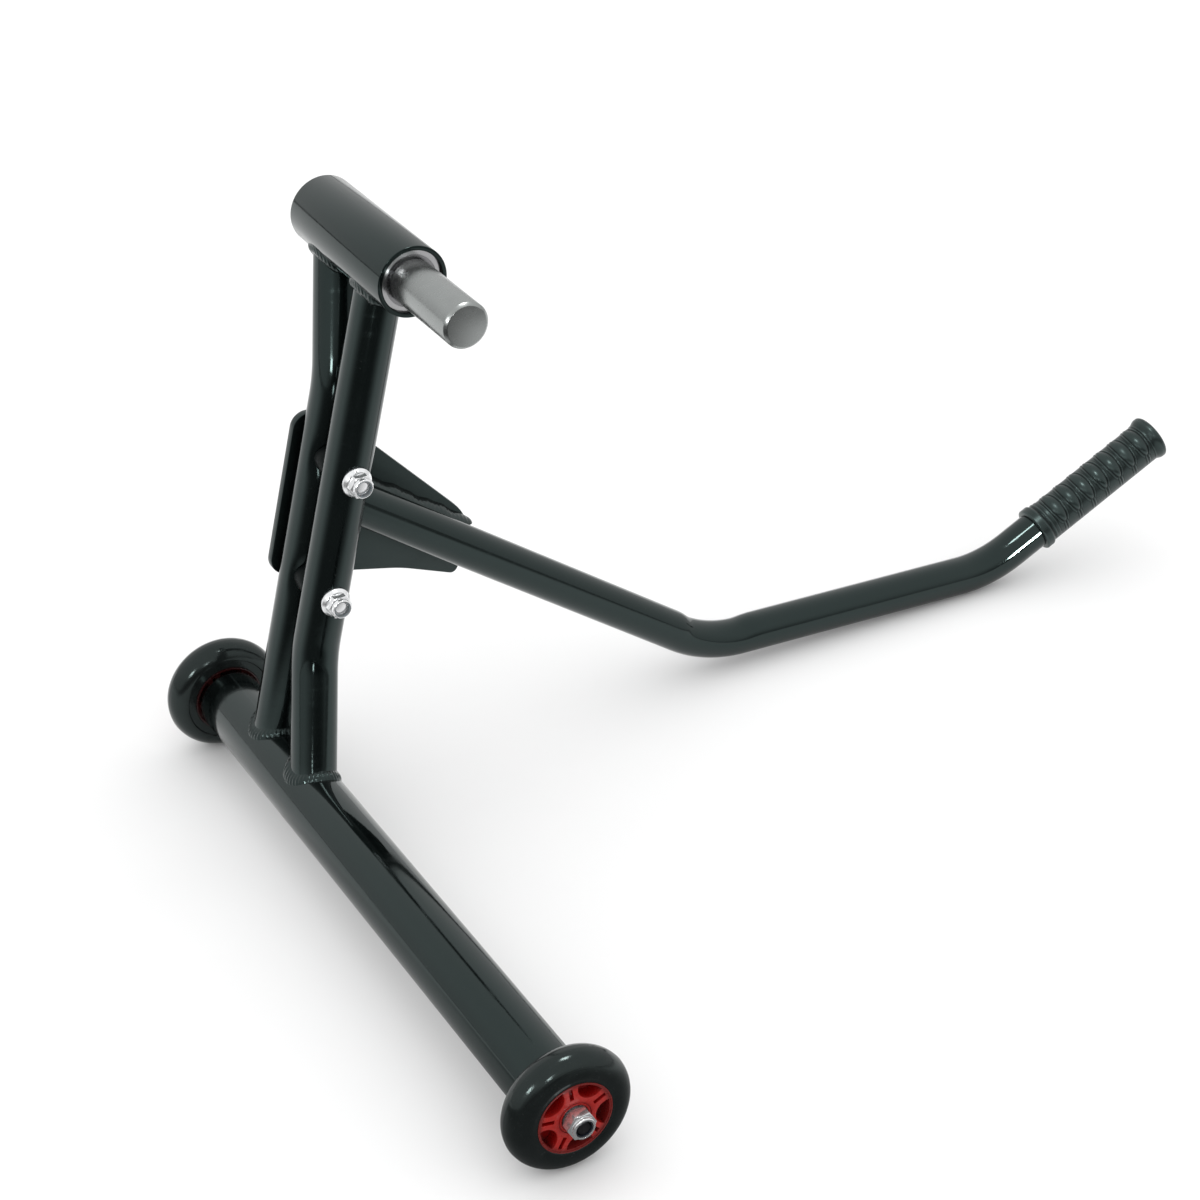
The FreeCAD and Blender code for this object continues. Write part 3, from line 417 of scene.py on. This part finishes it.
def grip_rubber():
    """Moulded rubber. Painted shade and highlight: its reflection is dimmed in the grooves and raised on the
    crests.
    """
    shader = Shader("grip_rubber", IOR=1.5, Specular_Tint=COAT_TINT)
    pores = shader.noise(0.7 * MM, detail=3)
    patches = shader.noise(9 * MM)
    colour = shader.mix(patches, rgb(0.003, 0.0042, 0.0042), rgb(0.008, 0.010, 0.010))
    gloss = shader.remap(patches, 0.3, 0.7, 0.26, 0.35)
    # painted shade and highlight: reflection weaker in grooves, stronger on crests
    shaded_sheen = shader.remap(shader.crest(), 0.47, 0.53, 0.12, 0.78)
    shader.bump((pores, 0.010 * MM), (patches, 0.05 * MM))
    return shader.set(Base_Color=colour, Roughness=gloss, Specular_IOR_Level=shaded_sheen)


def tyre_rubber(name, centre):
    """Smooth cast rubber with faint mould rings and scuffs."""
    shader = Shader(name, IOR=1.47, Specular_IOR_Level=0.4, Specular_Tint=rgb(0.8, 1.0, 0.97))
    patches = shader.noise(12 * MM, detail=5)
    grain = shader.noise(0.8 * MM, detail=2)
    dust = shader.remap(shader.noise(1.4 * MM, detail=2), 0.66, 0.76, 0, 0.22)
    colour = shader.mix(patches, rgb(0.004, 0.005, 0.005), rgb(0.011, 0.013, 0.013))
    colour = shader.mix(dust, colour, rgb(0.06, 0.065, 0.065))
    gloss = shader.remap(patches, 0.3, 0.75, 0.09, 0.19)
    shader.bump((grain, 0.025 * MM), (shader.rings(centre, 1.1 * MM), 0.012 * MM), (patches, 0.12 * MM))
    return shader.set(Base_Color=colour, Roughness=gloss)


def red_plastic():
    """Red moulded plastic. Painted shade: a deeper red in its pockets, a dark brown at the rim and nearly
    black on the inner side.
    """
    shader = Shader("core_red", IOR=1.49, Specular_IOR_Level=0.45)
    patches = shader.noise(7 * MM)
    grain = shader.noise(0.7 * MM, detail=2)
    colour = shader.mix(patches, rgb(0.27, 0.010, 0.008), rgb(0.35, 0.020, 0.016))
    # painted shade: a deeper, darker red where the pockets close in
    pocket_shade = shader.remap(shader.openness(14 * MM), 0.30, 0.85, 0, 1)
    colour = shader.mix(pocket_shade, rgb(0.19, 0.001, 0.001), colour)
    # painted shade: the rim is darkened towards a dark brown
    from_axle = shader.moved(Scale=(1, 0, 1), Location=(-AXLE.x, 0, -AXLE.z))
    rim = shader.remap(shader.length(from_axle), 20 * MM, 24 * MM, 0, 0.65)
    colour = shader.mix(rim, colour, rgb(0.045, 0.009, 0.008))
    # painted shade: the side facing the other wheel is nearly black
    from_middle = shader.math("ABSOLUTE", shader.along(shader.place, ACROSS))
    outer_lit_side = shader.remap(from_middle, WHEEL_MIDDLE - 2 * MM, WHEEL_MIDDLE + 1 * MM, 0, 1)
    colour = shader.mix(outer_lit_side, rgb(0.020, 0.003, 0.003), colour)
    gloss = shader.remap(patches, 0.3, 0.7, 0.20, 0.34)
    shader.bump((grain, 0.02 * MM), (patches, 0.08 * MM))
    return shader.set(Base_Color=colour, Roughness=gloss)


def metal(name, light, dark, rough, grain_height, speck=0.0, metallic=1.0):
    """Bare or plated metal: cloudy tone, fine grain, if need be dull specks."""
    shader = Shader(name, Metallic=metallic)
    cloud = shader.noise(6 * MM, detail=5)
    grain = shader.noise(0.35 * MM, detail=3)
    colour = shader.mix(cloud, dark, light)
    if speck:
        spots = shader.remap(shader.noise(1.5 * MM), 0.62, 0.72, 0, speck)
        colour = shader.mix(spots, colour, rgb(0.30, 0.29, 0.27))
    shader.bump((grain, grain_height))
    return shader.set(Base_Color=colour, Roughness=shader.remap(cloud, 0.25, 0.75, *rough))


def nylon(name, dark, light):
    shader = Shader(name, IOR=1.53, Subsurface_Weight=0.1, Subsurface_Scale=1 * MM, Roughness=0.42)
    cloud = shader.noise(2 * MM, detail=3)
    shader.bump((cloud, 0.06 * MM))
    return shader.set(Base_Color=shader.mix(cloud, dark, light))


def floor_material():
    """Pale floor. In reflections a wedge before the uprights and the far front are dark, as in a studio."""
    shader = Shader("studio_floor", Roughness=0.9, Specular_IOR_Level=0.1)
    pale = shader.mix(shader.noise(0.35, detail=3), rgb(0.86, 0.86, 0.86), rgb(0.89, 0.89, 0.89))
    dark = rgb(0.004, 0.004, 0.004)
    wedge_way = (-0.50, -0.866, 0)
    front_way = (0.2, -0.98, 0)
    uprights_y = (FRONT_Y + REAR_Y) / 2
    offset = shader.moved(Location=(-AXLE.x, -uprights_y, 0))
    heading = shader.along(shader.vector("NORMALIZE", offset), wedge_way)
    in_wedge = shader.remap(heading, 0.25, 0.88, 0, 0.93)
    from_foot = shader.remap(shader.length(offset), 0.22, 0.50, 0.2, 1)
    far_front = shader.remap(shader.along(shader.place, front_way), 0.40, 1.2, 0, 0.75)
    darkness = shader.math("MAXIMUM", shader.math("MULTIPLY", in_wedge, from_foot), far_front)
    reflected = shader.add("ShaderNodeLightPath").outputs["Is Glossy Ray"]
    return shader.set(Base_Color=shader.mix(shader.math("MULTIPLY", darkness, reflected), pale, dark))


BLACK = paint("black_coat", 0.012 * MM, 0.12)
SATIN = paint("satin_coat", 0.03 * MM, 0.08, satin=0.22)
# painted shade: a dimmer copy of the coat for the spacers, which sit in shadow between the uprights
SHADED = paint("shaded_coat", 0.03 * MM, 0.03, satin=0.3, shine=0.06)
WELD = weld_paint()
GRIP = grip_rubber()
RED = red_plastic()
ZINC = metal("zinc_plate", rgb(0.93, 0.94, 0.95), rgb(0.80, 0.81, 0.82), (0.14, 0.26), 0.004 * MM,
             speck=0.12, metallic=0.86)
SHINY = metal("bearing_steel", rgb(0.62, 0.62, 0.63), rgb(0.52, 0.52, 0.53), (0.16, 0.22), 0.001 * MM)
SHIELD = metal("bearing_shield", rgb(0.36, 0.36, 0.37), rgb(0.30, 0.30, 0.31), (0.24, 0.30), 0.001 * MM)
PIN = metal("pin_steel", rgb(0.33, 0.345, 0.34), rgb(0.29, 0.305, 0.30), (0.24, 0.29), 0.0007 * MM)
DARK_STEEL = metal("black_oxide", rgb(0.10, 0.10, 0.11), rgb(0.05, 0.05, 0.055), (0.30, 0.45), 0.02 * MM)
PLUG = metal("plug_steel", rgb(0.34, 0.34, 0.35), rgb(0.22, 0.22, 0.22), (0.35, 0.5), 0.02 * MM)
DARK_NYLON = nylon("dark_nylon", rgb(0.006, 0.008, 0.014), rgb(0.014, 0.018, 0.028))
PALE_NYLON = nylon("pale_nylon", rgb(0.10, 0.115, 0.12), rgb(0.17, 0.19, 0.20))


# ---------------------------------------------------------------- tubes of the frame
def head_shell():
    """The head tube with a bearing seat at each mouth."""
    length = head_high.y - head_low.y
    seat_depth = 14.5 * MM
    seat = 21 * MM
    bore = 20.15 * MM
    profile = eased([(bore, seat_depth), (seat, seat_depth), (seat, 0), (HEAD_RADIUS, 0),
                     (HEAD_RADIUS, length), (seat, length), (seat, length - seat_depth),
                     (bore, length - seat_depth)], EDGE)
    place = along_y(Vector((HEAD.x, head_low.y, HEAD.z)))
    finished("head_shell", *lathe(profile, place, 128), BLACK, "stand", "black_paint", ["head_tube"])


def base_shell():
    length = base_high.y - base_low.y
    bore = BASE_RADIUS - BASE_WALL
    profile = eased([(bore, 0), (BASE_RADIUS, 0), (BASE_RADIUS, length), (bore, length)], EDGE)
    place = along_y(Vector((AXLE.x, base_low.y, AXLE.z)))
    finished("base_shell", *lathe(profile, place, 128), BLACK, "stand", "black_paint", ["base_tube"])


def upright_corners(name):
    """Foot, knee and top of an upright's middle line."""
    if name == "front":
        y, foot_y, top_y, knee_height = FRONT_Y, FRONT_Y - KNEE_OFFSET, FRONT_Y, KNEE_HEIGHT
    else:
        y, foot_y, top_y, knee_height = REAR_Y, REAR_Y, REAR_Y + KNEE_OFFSET, HEAD_HEIGHT - KNEE_HEIGHT
    return [AXLE + ACROSS * foot_y, AXLE + UP_LEAN * knee_height + ACROSS * y, HEAD + ACROSS * top_y]


def upright_shells():
    """Both uprights, coped onto the base and the head, and pressed in a little at the bolts."""
    bend_clear = 29 * MM
    cope = 14 * MM
    cope_depth = 1 * MM
    press_depth = 2.4 * MM
    press_length = 11 * MM
    bend_excess = math.hypot(KNEE_HEIGHT, KNEE_OFFSET) - KNEE_HEIGHT
    for name, facing, extra in (("front", 1, bend_excess), ("rear", -1, 0)):
        foot, knee, top = upright_corners(name)
        first, last = (knee - foot).normalized(), (top - knee).normalized()
        path = bent_path([foot + first * bend_clear, knee, top - last * bend_clear], UPRIGHT_BEND)
        path = [(foot + first * cope, first)] + path + [(top - last * cope, last)]

        def pressed(distance, turn):
            """The pressed hollows are on the side that faces the other upright."""
            around = math.cos(turn - facing * math.pi / 2)
            press = ramp(around, 0.35, 1.0) * press_depth
            return -press * sum(hill(distance, height + extra - cope, press_length)
                                for height in BOLT_HEIGHTS)

        ends = (onto_cylinder(AXLE, BASE_RADIUS - cope_depth, 1),
                onto_cylinder(HEAD, HEAD_RADIUS - cope_depth, -1))
        shell = tube(path, UP_LEAN.cross(ACROSS), UPRIGHT_RADIUS, UPRIGHT_WALL, pressed, ends)
        finished(f"{name}_upright_shell", *shell, BLACK, "stand", "black_paint", [f"{name}_upright"])


def lever_corners():
    points = [LEVER_START]
    for slope, length in zip(LEVER_SLOPES, LEVER_LENGTHS):
        turn = math.radians(slope)
        points.append(points[-1] + Vector((math.cos(turn), 0, -math.sin(turn))) * length)
    return points


def lever_shell():
    """The bent lever. The tube is drawn in a little through its first bend."""
    inside_grip = 4 * MM
    draw_depth = 1.3 * MM
    corners = lever_corners()
    corners[-1] = corners[-1] + (corners[-2] - corners[-1]).normalized() * inside_grip
    bend = math.radians(LEVER_SLOPES[0] - LEVER_SLOPES[1])
    bend_start = LEVER_LENGTHS[0] - LEVER_BEND * math.tan(bend / 2)
    bend_end = bend_start + LEVER_BEND * bend

    def drawn_in(distance, turn):
        upper_side = ramp(math.cos(turn + math.pi / 2), 0.0, 1.0)
        step = ramp(distance, bend_start - 7 * MM, bend_start + 5 * MM)
        ease = 1 - ramp(distance, bend_end - 8 * MM, bend_end + 12 * MM)
        return -draw_depth * upper_side * step * ease

    shell = tube(bent_path(corners, LEVER_BEND), ACROSS, LEVER_RADIUS, LEVER_WALL, drawn_in)
    finished("lever_shell", *shell, BLACK, "stand", "black_paint", ["lever_tube"], sharp=50)


# ---------------------------------------------------------------- weld beads
def bead(sections, ripples, ripple, closed):
    """A fillet bead. Each section is (root, first toe, second toe, outward). The face swells and ripples."""
    curve = 9
    swell = 0.9
    bow = 9.6
    rings = []
    count = len(sections)
    for i, (root, toe_a, toe_b, outward) in enumerate(sections):
        ring = [root]
        for j in range(curve + 1):
            t = j / curve
            crescent = math.sin(TAU * ripples * i / count + bow * (t - 0.5) ** 2)
            height = math.sin(math.pi * t) * (swell + ripple * crescent) * MM
            ring.append(toe_a.lerp(toe_b, t) + outward * height)
        if not closed:
            middle = sum(ring, Vector()) / len(ring)
            fade = math.sqrt(max(0.01, 1 - (2 * i / (count - 1) - 1) ** 12))
            ring = [middle + (point - middle) * fade for point in ring]
        rings.append(ring)
    return loft(rings, closed)


def saddle_bead(foot, knee, axis_point, tube_radius, stop):
    """The bead where an upright meets a tube along Y. stop is the turn at which it starts and ends."""
    samples = 360
    leg = 4.2 * MM
    sunk = 0.15 * MM
    root_depth = 0.8 * MM
    heading = (knee - foot).normalized()
    side = heading.cross(ACROSS).normalized()
    lift = side.cross(heading)
    reach = onto_cylinder(axis_point, tube_radius - sunk, 1)
    sections = []
    for i in range(samples):
        turn = TAU * i / samples
        out = side * math.cos(turn) + lift * math.sin(turn)
        from_stop = abs((turn - stop + math.pi) % TAU - math.pi)
        uneven = 0.12 * math.sin(3 * turn + stop) + 0.05 * math.sin(8 * turn)
        size = leg * (1 + uneven + 0.35 * hill(from_stop, 0, 0.16))
        spot = foot + out * (UPRIGHT_RADIUS - sunk)
        corner = spot + heading * reach(spot, heading)
        wide = foot + out * (UPRIGHT_RADIUS + size * 0.85)
        toe = wide + heading * reach(wide, heading)
        top = corner + heading * size
        root = corner - out * root_depth - heading * root_depth
        outward = ((toe + top) / 2 - corner).normalized()
        sections.append((root, toe, top, outward))
    return bead(sections, 40, 0.22, closed=True)


def upright_beads():
    front_foot, front_knee, front_top = upright_corners("front")
    rear_foot, rear_knee, rear_top = upright_corners("rear")
    feet = merged(saddle_bead(front_foot, front_knee, AXLE, BASE_RADIUS, 0.5),
                  saddle_bead(rear_foot, rear_knee, AXLE, BASE_RADIUS, 3.6))
    tops = merged(saddle_bead(front_top, front_knee, HEAD, HEAD_RADIUS, 4.0),
                  saddle_bead(rear_top, rear_knee, HEAD, HEAD_RADIUS, 2.2))
    finished("foot_beads", *feet, WELD, "stand", "painted_weld", ["foot_welds"], sharp=80)
    finished("head_beads", *tops, WELD, "stand", "painted_weld", ["head_welds"], sharp=80)


def lever_beads():
    """A bead on each side of the lever, in the corner between the tube and the plate."""
    samples = 300
    start = 3 * MM
    length = 107 * MM
    low, high = math.radians(25), math.radians(66)
    sunk = 0.2 * MM
    plate_reach = 17.8 * MM
    on_lever = LEVER_RADIUS - sunk
    slope = math.radians(LEVER_SLOPES[0])
    along = Vector((math.cos(slope), 0, -math.sin(slope)))
    above = Vector((math.sin(slope), 0, math.cos(slope)))
    shells = []
    for sign in (1, -1):
        outward = (ACROSS * -0.5 + above * (sign * 0.85)).normalized()
        sections = []
        for i in range(samples):
            share = i / (samples - 1)
            centre = LEVER_START + along * (start + length * share)
            size = 1 + 0.035 * math.sin(TAU * 3 * share + sign) + 0.02 * math.sin(TAU * 7 * share)
            root, tube_toe, plate_toe = (
                centre + ACROSS * y + above * (sign * height)
                for y, height in ((on_lever * math.cos(low), on_lever * math.sin(low)),
                                  (on_lever * math.cos(high), on_lever * math.sin(high)),
                                  (LEVER_RADIUS + sunk, plate_reach * size)))
            sections.append((root, tube_toe, plate_toe, outward))
        shells.append(bead(sections, 28, 0.08, closed=False))
    finished("lever_beads", *merged(*shells), WELD, "stand", "painted_weld", ["lever_welds"], sharp=80)


# ---------------------------------------------------------------- grip
GRIP_LENGTH = 128 * MM
GRIP_RADIUS = 16.9 * MM
GRIP_BORE = 15 * MM
GRIP_TWIST = math.radians(23)


def grip_radius(distance, turn):
    """Leaf-shaped swells on the upper side, between thin ribs that follow their edges."""
    first_swell, pitch, last_swell = 15 * MM, 14.6 * MM, 117.2 * MM
    widest = 4.6 * MM
    swell_height = 1.3 * MM
    rib_height, rib_width, rib_gap = 0.6 * MM, 0.5 * MM, 1.3 * MM
    around = math.cos(turn + GRIP_TWIST)
    upper = ramp(around, -0.35, 0.25)
    collar = 1.7 * MM * (1 - ramp(distance, 6.5 * MM, 9 * MM)) * ramp(distance, -1 * MM, 1.2 * MM)
    flare = 1.9 * MM * ramp(distance, 118 * MM, 124 * MM)
    lip = 0.5 * MM * hill(distance, 11 * MM, 0.7 * MM) * upper
    relief = 0
    if first_swell < distance < last_swell:
        off = abs((distance - first_swell) % pitch - pitch / 2)
        leaf = widest * math.sqrt(max(0, (around - 0.5) / 0.5))
        if leaf > 0.5 * MM:
            relief = swell_height * max(0, 1 - (off / leaf) ** 2) * ramp(leaf, 0.5 * MM, 3 * MM)
        relief += rib_height * hill(off, leaf + rib_gap, rib_width) * upper
        relief -= 0.45 * MM * upper
    return GRIP_RADIUS + collar + flare + lip + relief


def grip_sections():
    """(distance, radius at a turn) from the mouth over the outside to the closed end and back inside."""
    step = 0.45 * MM
    wall = 1.2 * MM
    rim_round = 2.2 * MM
    rim_steps = 6
    crown = 0.4 * MM
    end_shares = (0.8, 0.55, 0.3, 0.0)
    end_depth = 3.9 * MM
    rim = grip_radius(GRIP_LENGTH, math.pi)
    sections = [(0.0, lambda turn: GRIP_BORE), (0.0, lambda turn: GRIP_BORE + wall)]
    for i in range(1, round((GRIP_LENGTH - 1.5 * MM) / step)):
        sections.append((i * step, lambda turn, d=i * step: grip_radius(d, turn)))
    for i in range(1, rim_steps + 1):
        turn_in = math.pi / 2 * i / rim_steps
        radius = rim - rim_round * (1 - math.cos(turn_in))
        sections.append((GRIP_LENGTH - 2.5 * MM + rim_round * math.sin(turn_in), lambda turn, r=radius: r))
    for share in end_shares:
        height = GRIP_LENGTH - 0.25 * MM + crown * (1 - share ** 2)
        sections.append((height, lambda turn, r=(rim - rim_round) * share: r))
    sections.append((GRIP_LENGTH - end_depth, lambda turn: 0.0))
    sections.append((GRIP_LENGTH - end_depth, lambda turn: GRIP_BORE))
    return sections


def grip_sleeve():
    """Rubber grip: collar, finger swells on its upper side, flared closed end."""
    segments = 108
    corners = lever_corners()
    heading = (corners[-1] - corners[-2]).normalized()
    start = corners[-1] - heading * GRIP_LENGTH
    above = heading.cross(ACROSS)
    rings = []
    for distance, radius in grip_sections():
        ring = []
        for j in range(segments):
            turn = TAU * j / segments
            out = above * math.cos(turn) + ACROSS * math.sin(turn)
            ring.append(start + heading * distance + out * radius(turn))
        rings.append(ring)
    shell = loft(rings, closed=True)
    finished("ribbed_grip", *shell, GRIP, "stand", "grip_rubber", ["lever_grip"], sharp=60)


# ---------------------------------------------------------------- wheels
def tyre_skin(side_name, centre, inward):
    """Round rubber tyre: a mould line on the tread, a shallow recess beside the core on its inner side."""
    wheel, half, core = 42 * MM, 12 * MM, 25 * MM
    recess_edge, recess = 31.2 * MM, 0.9 * MM
    chamfer = 0.4 * MM
    proud = 0.2 * MM
    mould_line = 0.12 * MM
    steps = 44
    first_step = 3
    inner_face = half - recess
    profile = [(core, -half + 0.3 * MM), (core, inner_face - 0.3 * MM), (core + chamfer, inner_face),
               (recess_edge - 0.6 * MM, inner_face), (recess_edge, half - 0.1 * MM)]
    for i in range(first_step, steps + 1):
        turn = math.pi / 2 - math.pi * i / steps
        ridge = mould_line if i == steps // 2 else 0
        profile.append((wheel - half + (half + ridge) * math.cos(turn), (half + proud) * math.sin(turn)))
    profile += [(core + 2.6 * MM, -half - proud), (core + 2.2 * MM, -half), (core + chamfer, -half)]
    material = tyre_rubber(f"{side_name}_tyre_rubber", centre)
    shell = lathe(profile, along_y(centre, inward), 160)
    finished(f"{side_name}_tyre_skin", *shell, material, f"{side_name}_wheel", "tyre_rubber",
             [f"{side_name}_tyre"])


# ---------------------------------------------------------------- CAD shapes with rounded edges
def softened(node, width, material, slot):
    """A CAD node's own shape with its sharp edges rounded."""
    sharp = 28
    flat = math.radians(0.6)
    shell = bmesh.new()
    shell.from_mesh(frame["nodes"][node].data)
    bmesh.ops.remove_doubles(shell, verts=shell.verts, dist=1e-6)
    bmesh.ops.dissolve_limit(shell, angle_limit=flat, verts=shell.verts, edges=shell.edges)
    edges = [edge for edge in shell.edges
             if len(edge.link_faces) == 2 and edge.calc_face_angle(0) > math.radians(sharp)]
    bmesh.ops.bevel(shell, geom=edges, offset=width, offset_type="OFFSET", segments=2, profile=0.5,
                    affect="EDGES", clamp_overlap=True)
    bmesh.ops.triangulate(shell, faces=[face for face in shell.faces if len(face.verts) > 4])
    verts = [vert.co.copy() for vert in shell.verts]
    faces = [[vert.index for vert in face.verts] for face in shell.faces]
    shell.free()
    body = frame["nodes"][node]["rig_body"]
    finished(f"{node}_eased", verts, faces, material, body, slot, [node], sharp=sharp)


# ---------------------------------------------------------------- build
head_shell()
base_shell()
upright_shells()
lever_shell()
upright_beads()
lever_beads()
grip_sleeve()
tyre_skin("near", AXLE - ACROSS * WHEEL_MIDDLE, 1)
tyre_skin("far", AXLE + ACROSS * WHEEL_MIDDLE, -1)

EASED = {
    "near_wheel_core": 0.3 * MM, "far_wheel_core": 0.3 * MM, "bracket_plate": 0.6 * MM,
    "upright_spacers": 0.5 * MM, "near_lock_nut": 0.15 * MM, "far_lock_nut": 0.15 * MM,
    "bracket_nuts": 0.15 * MM, "bracket_bolts": 0.2 * MM, "axle_pin": 0.3 * MM, "cap_screw": 0.25 * MM,
    "end_disc": 0.3 * MM,
}
OWN_FINISH = {"bracket_plate": SATIN, "upright_spacers": SHADED, "bracket_nut_rings": PALE_NYLON}
SLOT_FINISH = {
    "plug_steel": PLUG, "zinc_plate": ZINC, "nylon_ring": DARK_NYLON, "red_core": RED,
    "bearing_steel": SHINY, "bearing_shield": SHIELD, "pin_steel": PIN, "black_oxide": DARK_STEEL,
}
slots = {part["node"]: part["material_slot"] for part in frame["record"]["subparts"]}
for node, obj in frame["nodes"].items():
    if obj.hide_render:
        continue
    material = OWN_FINISH.get(node) or SLOT_FINISH[slots[node]]
    if node in EASED:
        softened(node, EASED[node], material, slots[node])
        continue
    obj.data.materials.clear()
    obj.data.materials.append(material)


# ---------------------------------------------------------------- studio
def camera():
    """A long lens from the front left, above the stand."""
    place = Vector((-0.9668, -1.3385, 1.1213))
    heading, dip, tilt = math.radians(29.62), math.radians(30.759), math.radians(0.276)
    level = Vector((math.sin(heading), math.cos(heading), 0))
    forward = level * math.cos(dip) - Vector((0, 0, math.sin(dip)))
    right = Vector((math.cos(heading), -math.sin(heading), 0))
    up = right.cross(forward)
    rolled_right = right * math.cos(tilt) + up * math.sin(tilt)
    rolled_up = up * math.cos(tilt) - right * math.sin(tilt)
    turn = Matrix((rolled_right, rolled_up, -forward)).transposed().to_4x4()
    data = bpy.data.cameras.new("view")
    data.lens = 82.17
    data.sensor_width = 36
    data.clip_end = 50
    eye = bpy.data.objects.new("view", data)
    eye.matrix_world = Matrix.Translation(place) @ turn
    bpy.context.scene.collection.objects.link(eye)
    bpy.context.scene.camera = eye


def floor():
    reach = 12.0
    corners = [(-reach, -reach, 0), (reach, -reach, 0), (reach, reach, 0), (-reach, reach, 0)]
    mesh = bpy.data.meshes.new("floor")
    mesh.from_pydata(corners, [], [(0, 1, 2, 3)])
    mesh.materials.append(floor_material())
    sheet = bpy.data.objects.new("floor", mesh)
    bpy.context.scene.collection.objects.link(sheet)


def lamp(name, place, aim, width, height, radiance, spread=180, only=()):
    """A small softbox that only shows in reflections, if need be only in those of some pieces."""
    data = bpy.data.lights.new(name, "AREA")
    data.shape = "RECTANGLE"
    data.size = width
    data.size_y = height
    data.energy = radiance * math.pi * width * height
    data.spread = math.radians(spread)
    facing = (Vector(aim) - Vector(place)).to_track_quat("-Z", "Y").to_matrix().to_4x4()
    light = bpy.data.objects.new(name, data)
    light.matrix_world = Matrix.Translation(place) @ facing
    light.visible_diffuse = False
    light.visible_camera = False
    if only:
        lit = bpy.data.collections.new(f"{name}_lit")
        for piece in only:
            lit.objects.link(bpy.data.objects[piece])
        light.light_linking.receiver_collection = lit
    bpy.context.scene.collection.objects.link(light)


def surroundings():
    """White to the eye and for soft light. Reflections see a bright tent, dark at the camera's side."""
    soft_light = 1.3
    opening_way = Vector((-0.26, -0.96, 0.04)).normalized()
    opening_squash = (1, 1, 2.8)
    up = (0, 0, 1)
    world = bpy.data.worlds.new("studio")
    bpy.context.scene.world = world
    world.use_nodes = True
    graph = Graph(world.node_tree)
    direction = graph.add("ShaderNodeTexCoord").outputs["Generated"]
    squashed = graph.vector("NORMALIZE", graph.vector("MULTIPLY", direction, opening_squash))
    opening = graph.remap(graph.along(squashed, opening_way), 0.50, 0.97, 1.0, 0.02)
    height = graph.along(direction, up)
    walls = graph.remap(height, 0.0, 0.6, 0.78, 1.0)
    seam = graph.remap(height, 0.0, 0.016, 0.35, 1.0)
    tent = graph.math("MULTIPLY", graph.math("MULTIPLY", opening, walls), seam)
    path = graph.add("ShaderNodeLightPath")
    plain = graph.choose(path.outputs["Is Diffuse Ray"], 1.0, soft_light)
    strength = graph.choose(path.outputs["Is Glossy Ray"], plain, tent)
    back = graph.nodes["Background"]
    graph.put(back, "Color", rgb(1, 1, 1))
    graph.put(back, "Strength", strength)


camera()
floor()
surroundings()
lamp("left_box", place=(-1.234, -0.678, 0.66), aim=(-0.4, 0, 0.1), width=0.20, height=0.20, radiance=26)
lamp("top_box", place=(-0.05, -0.20, 1.35), aim=(-0.35, 0, 0.1), width=0.26, height=0.26, radiance=26)
lamp("front_box", place=(-0.606, -1.236, 0.751), aim=(-0.39, -0.26, 0.08), width=0.14, height=0.14,
     radiance=26)
lamp("low_box", place=(-1.00, -0.96, 0.26), aim=(-0.36, 0.12, 0.12), width=0.10, height=0.14,
     radiance=16, only=("front_upright_shell", "rear_upright_shell", "foot_beads"))
lamp("far_front_box", place=(0.65, -1.31, 0.40), aim=(0.47, 0.17, 0.25), width=0.24, height=0.34,
     radiance=18, spread=24, only=("lever_shell",))
bpy.context.scene.view_settings.view_transform = "Standard"
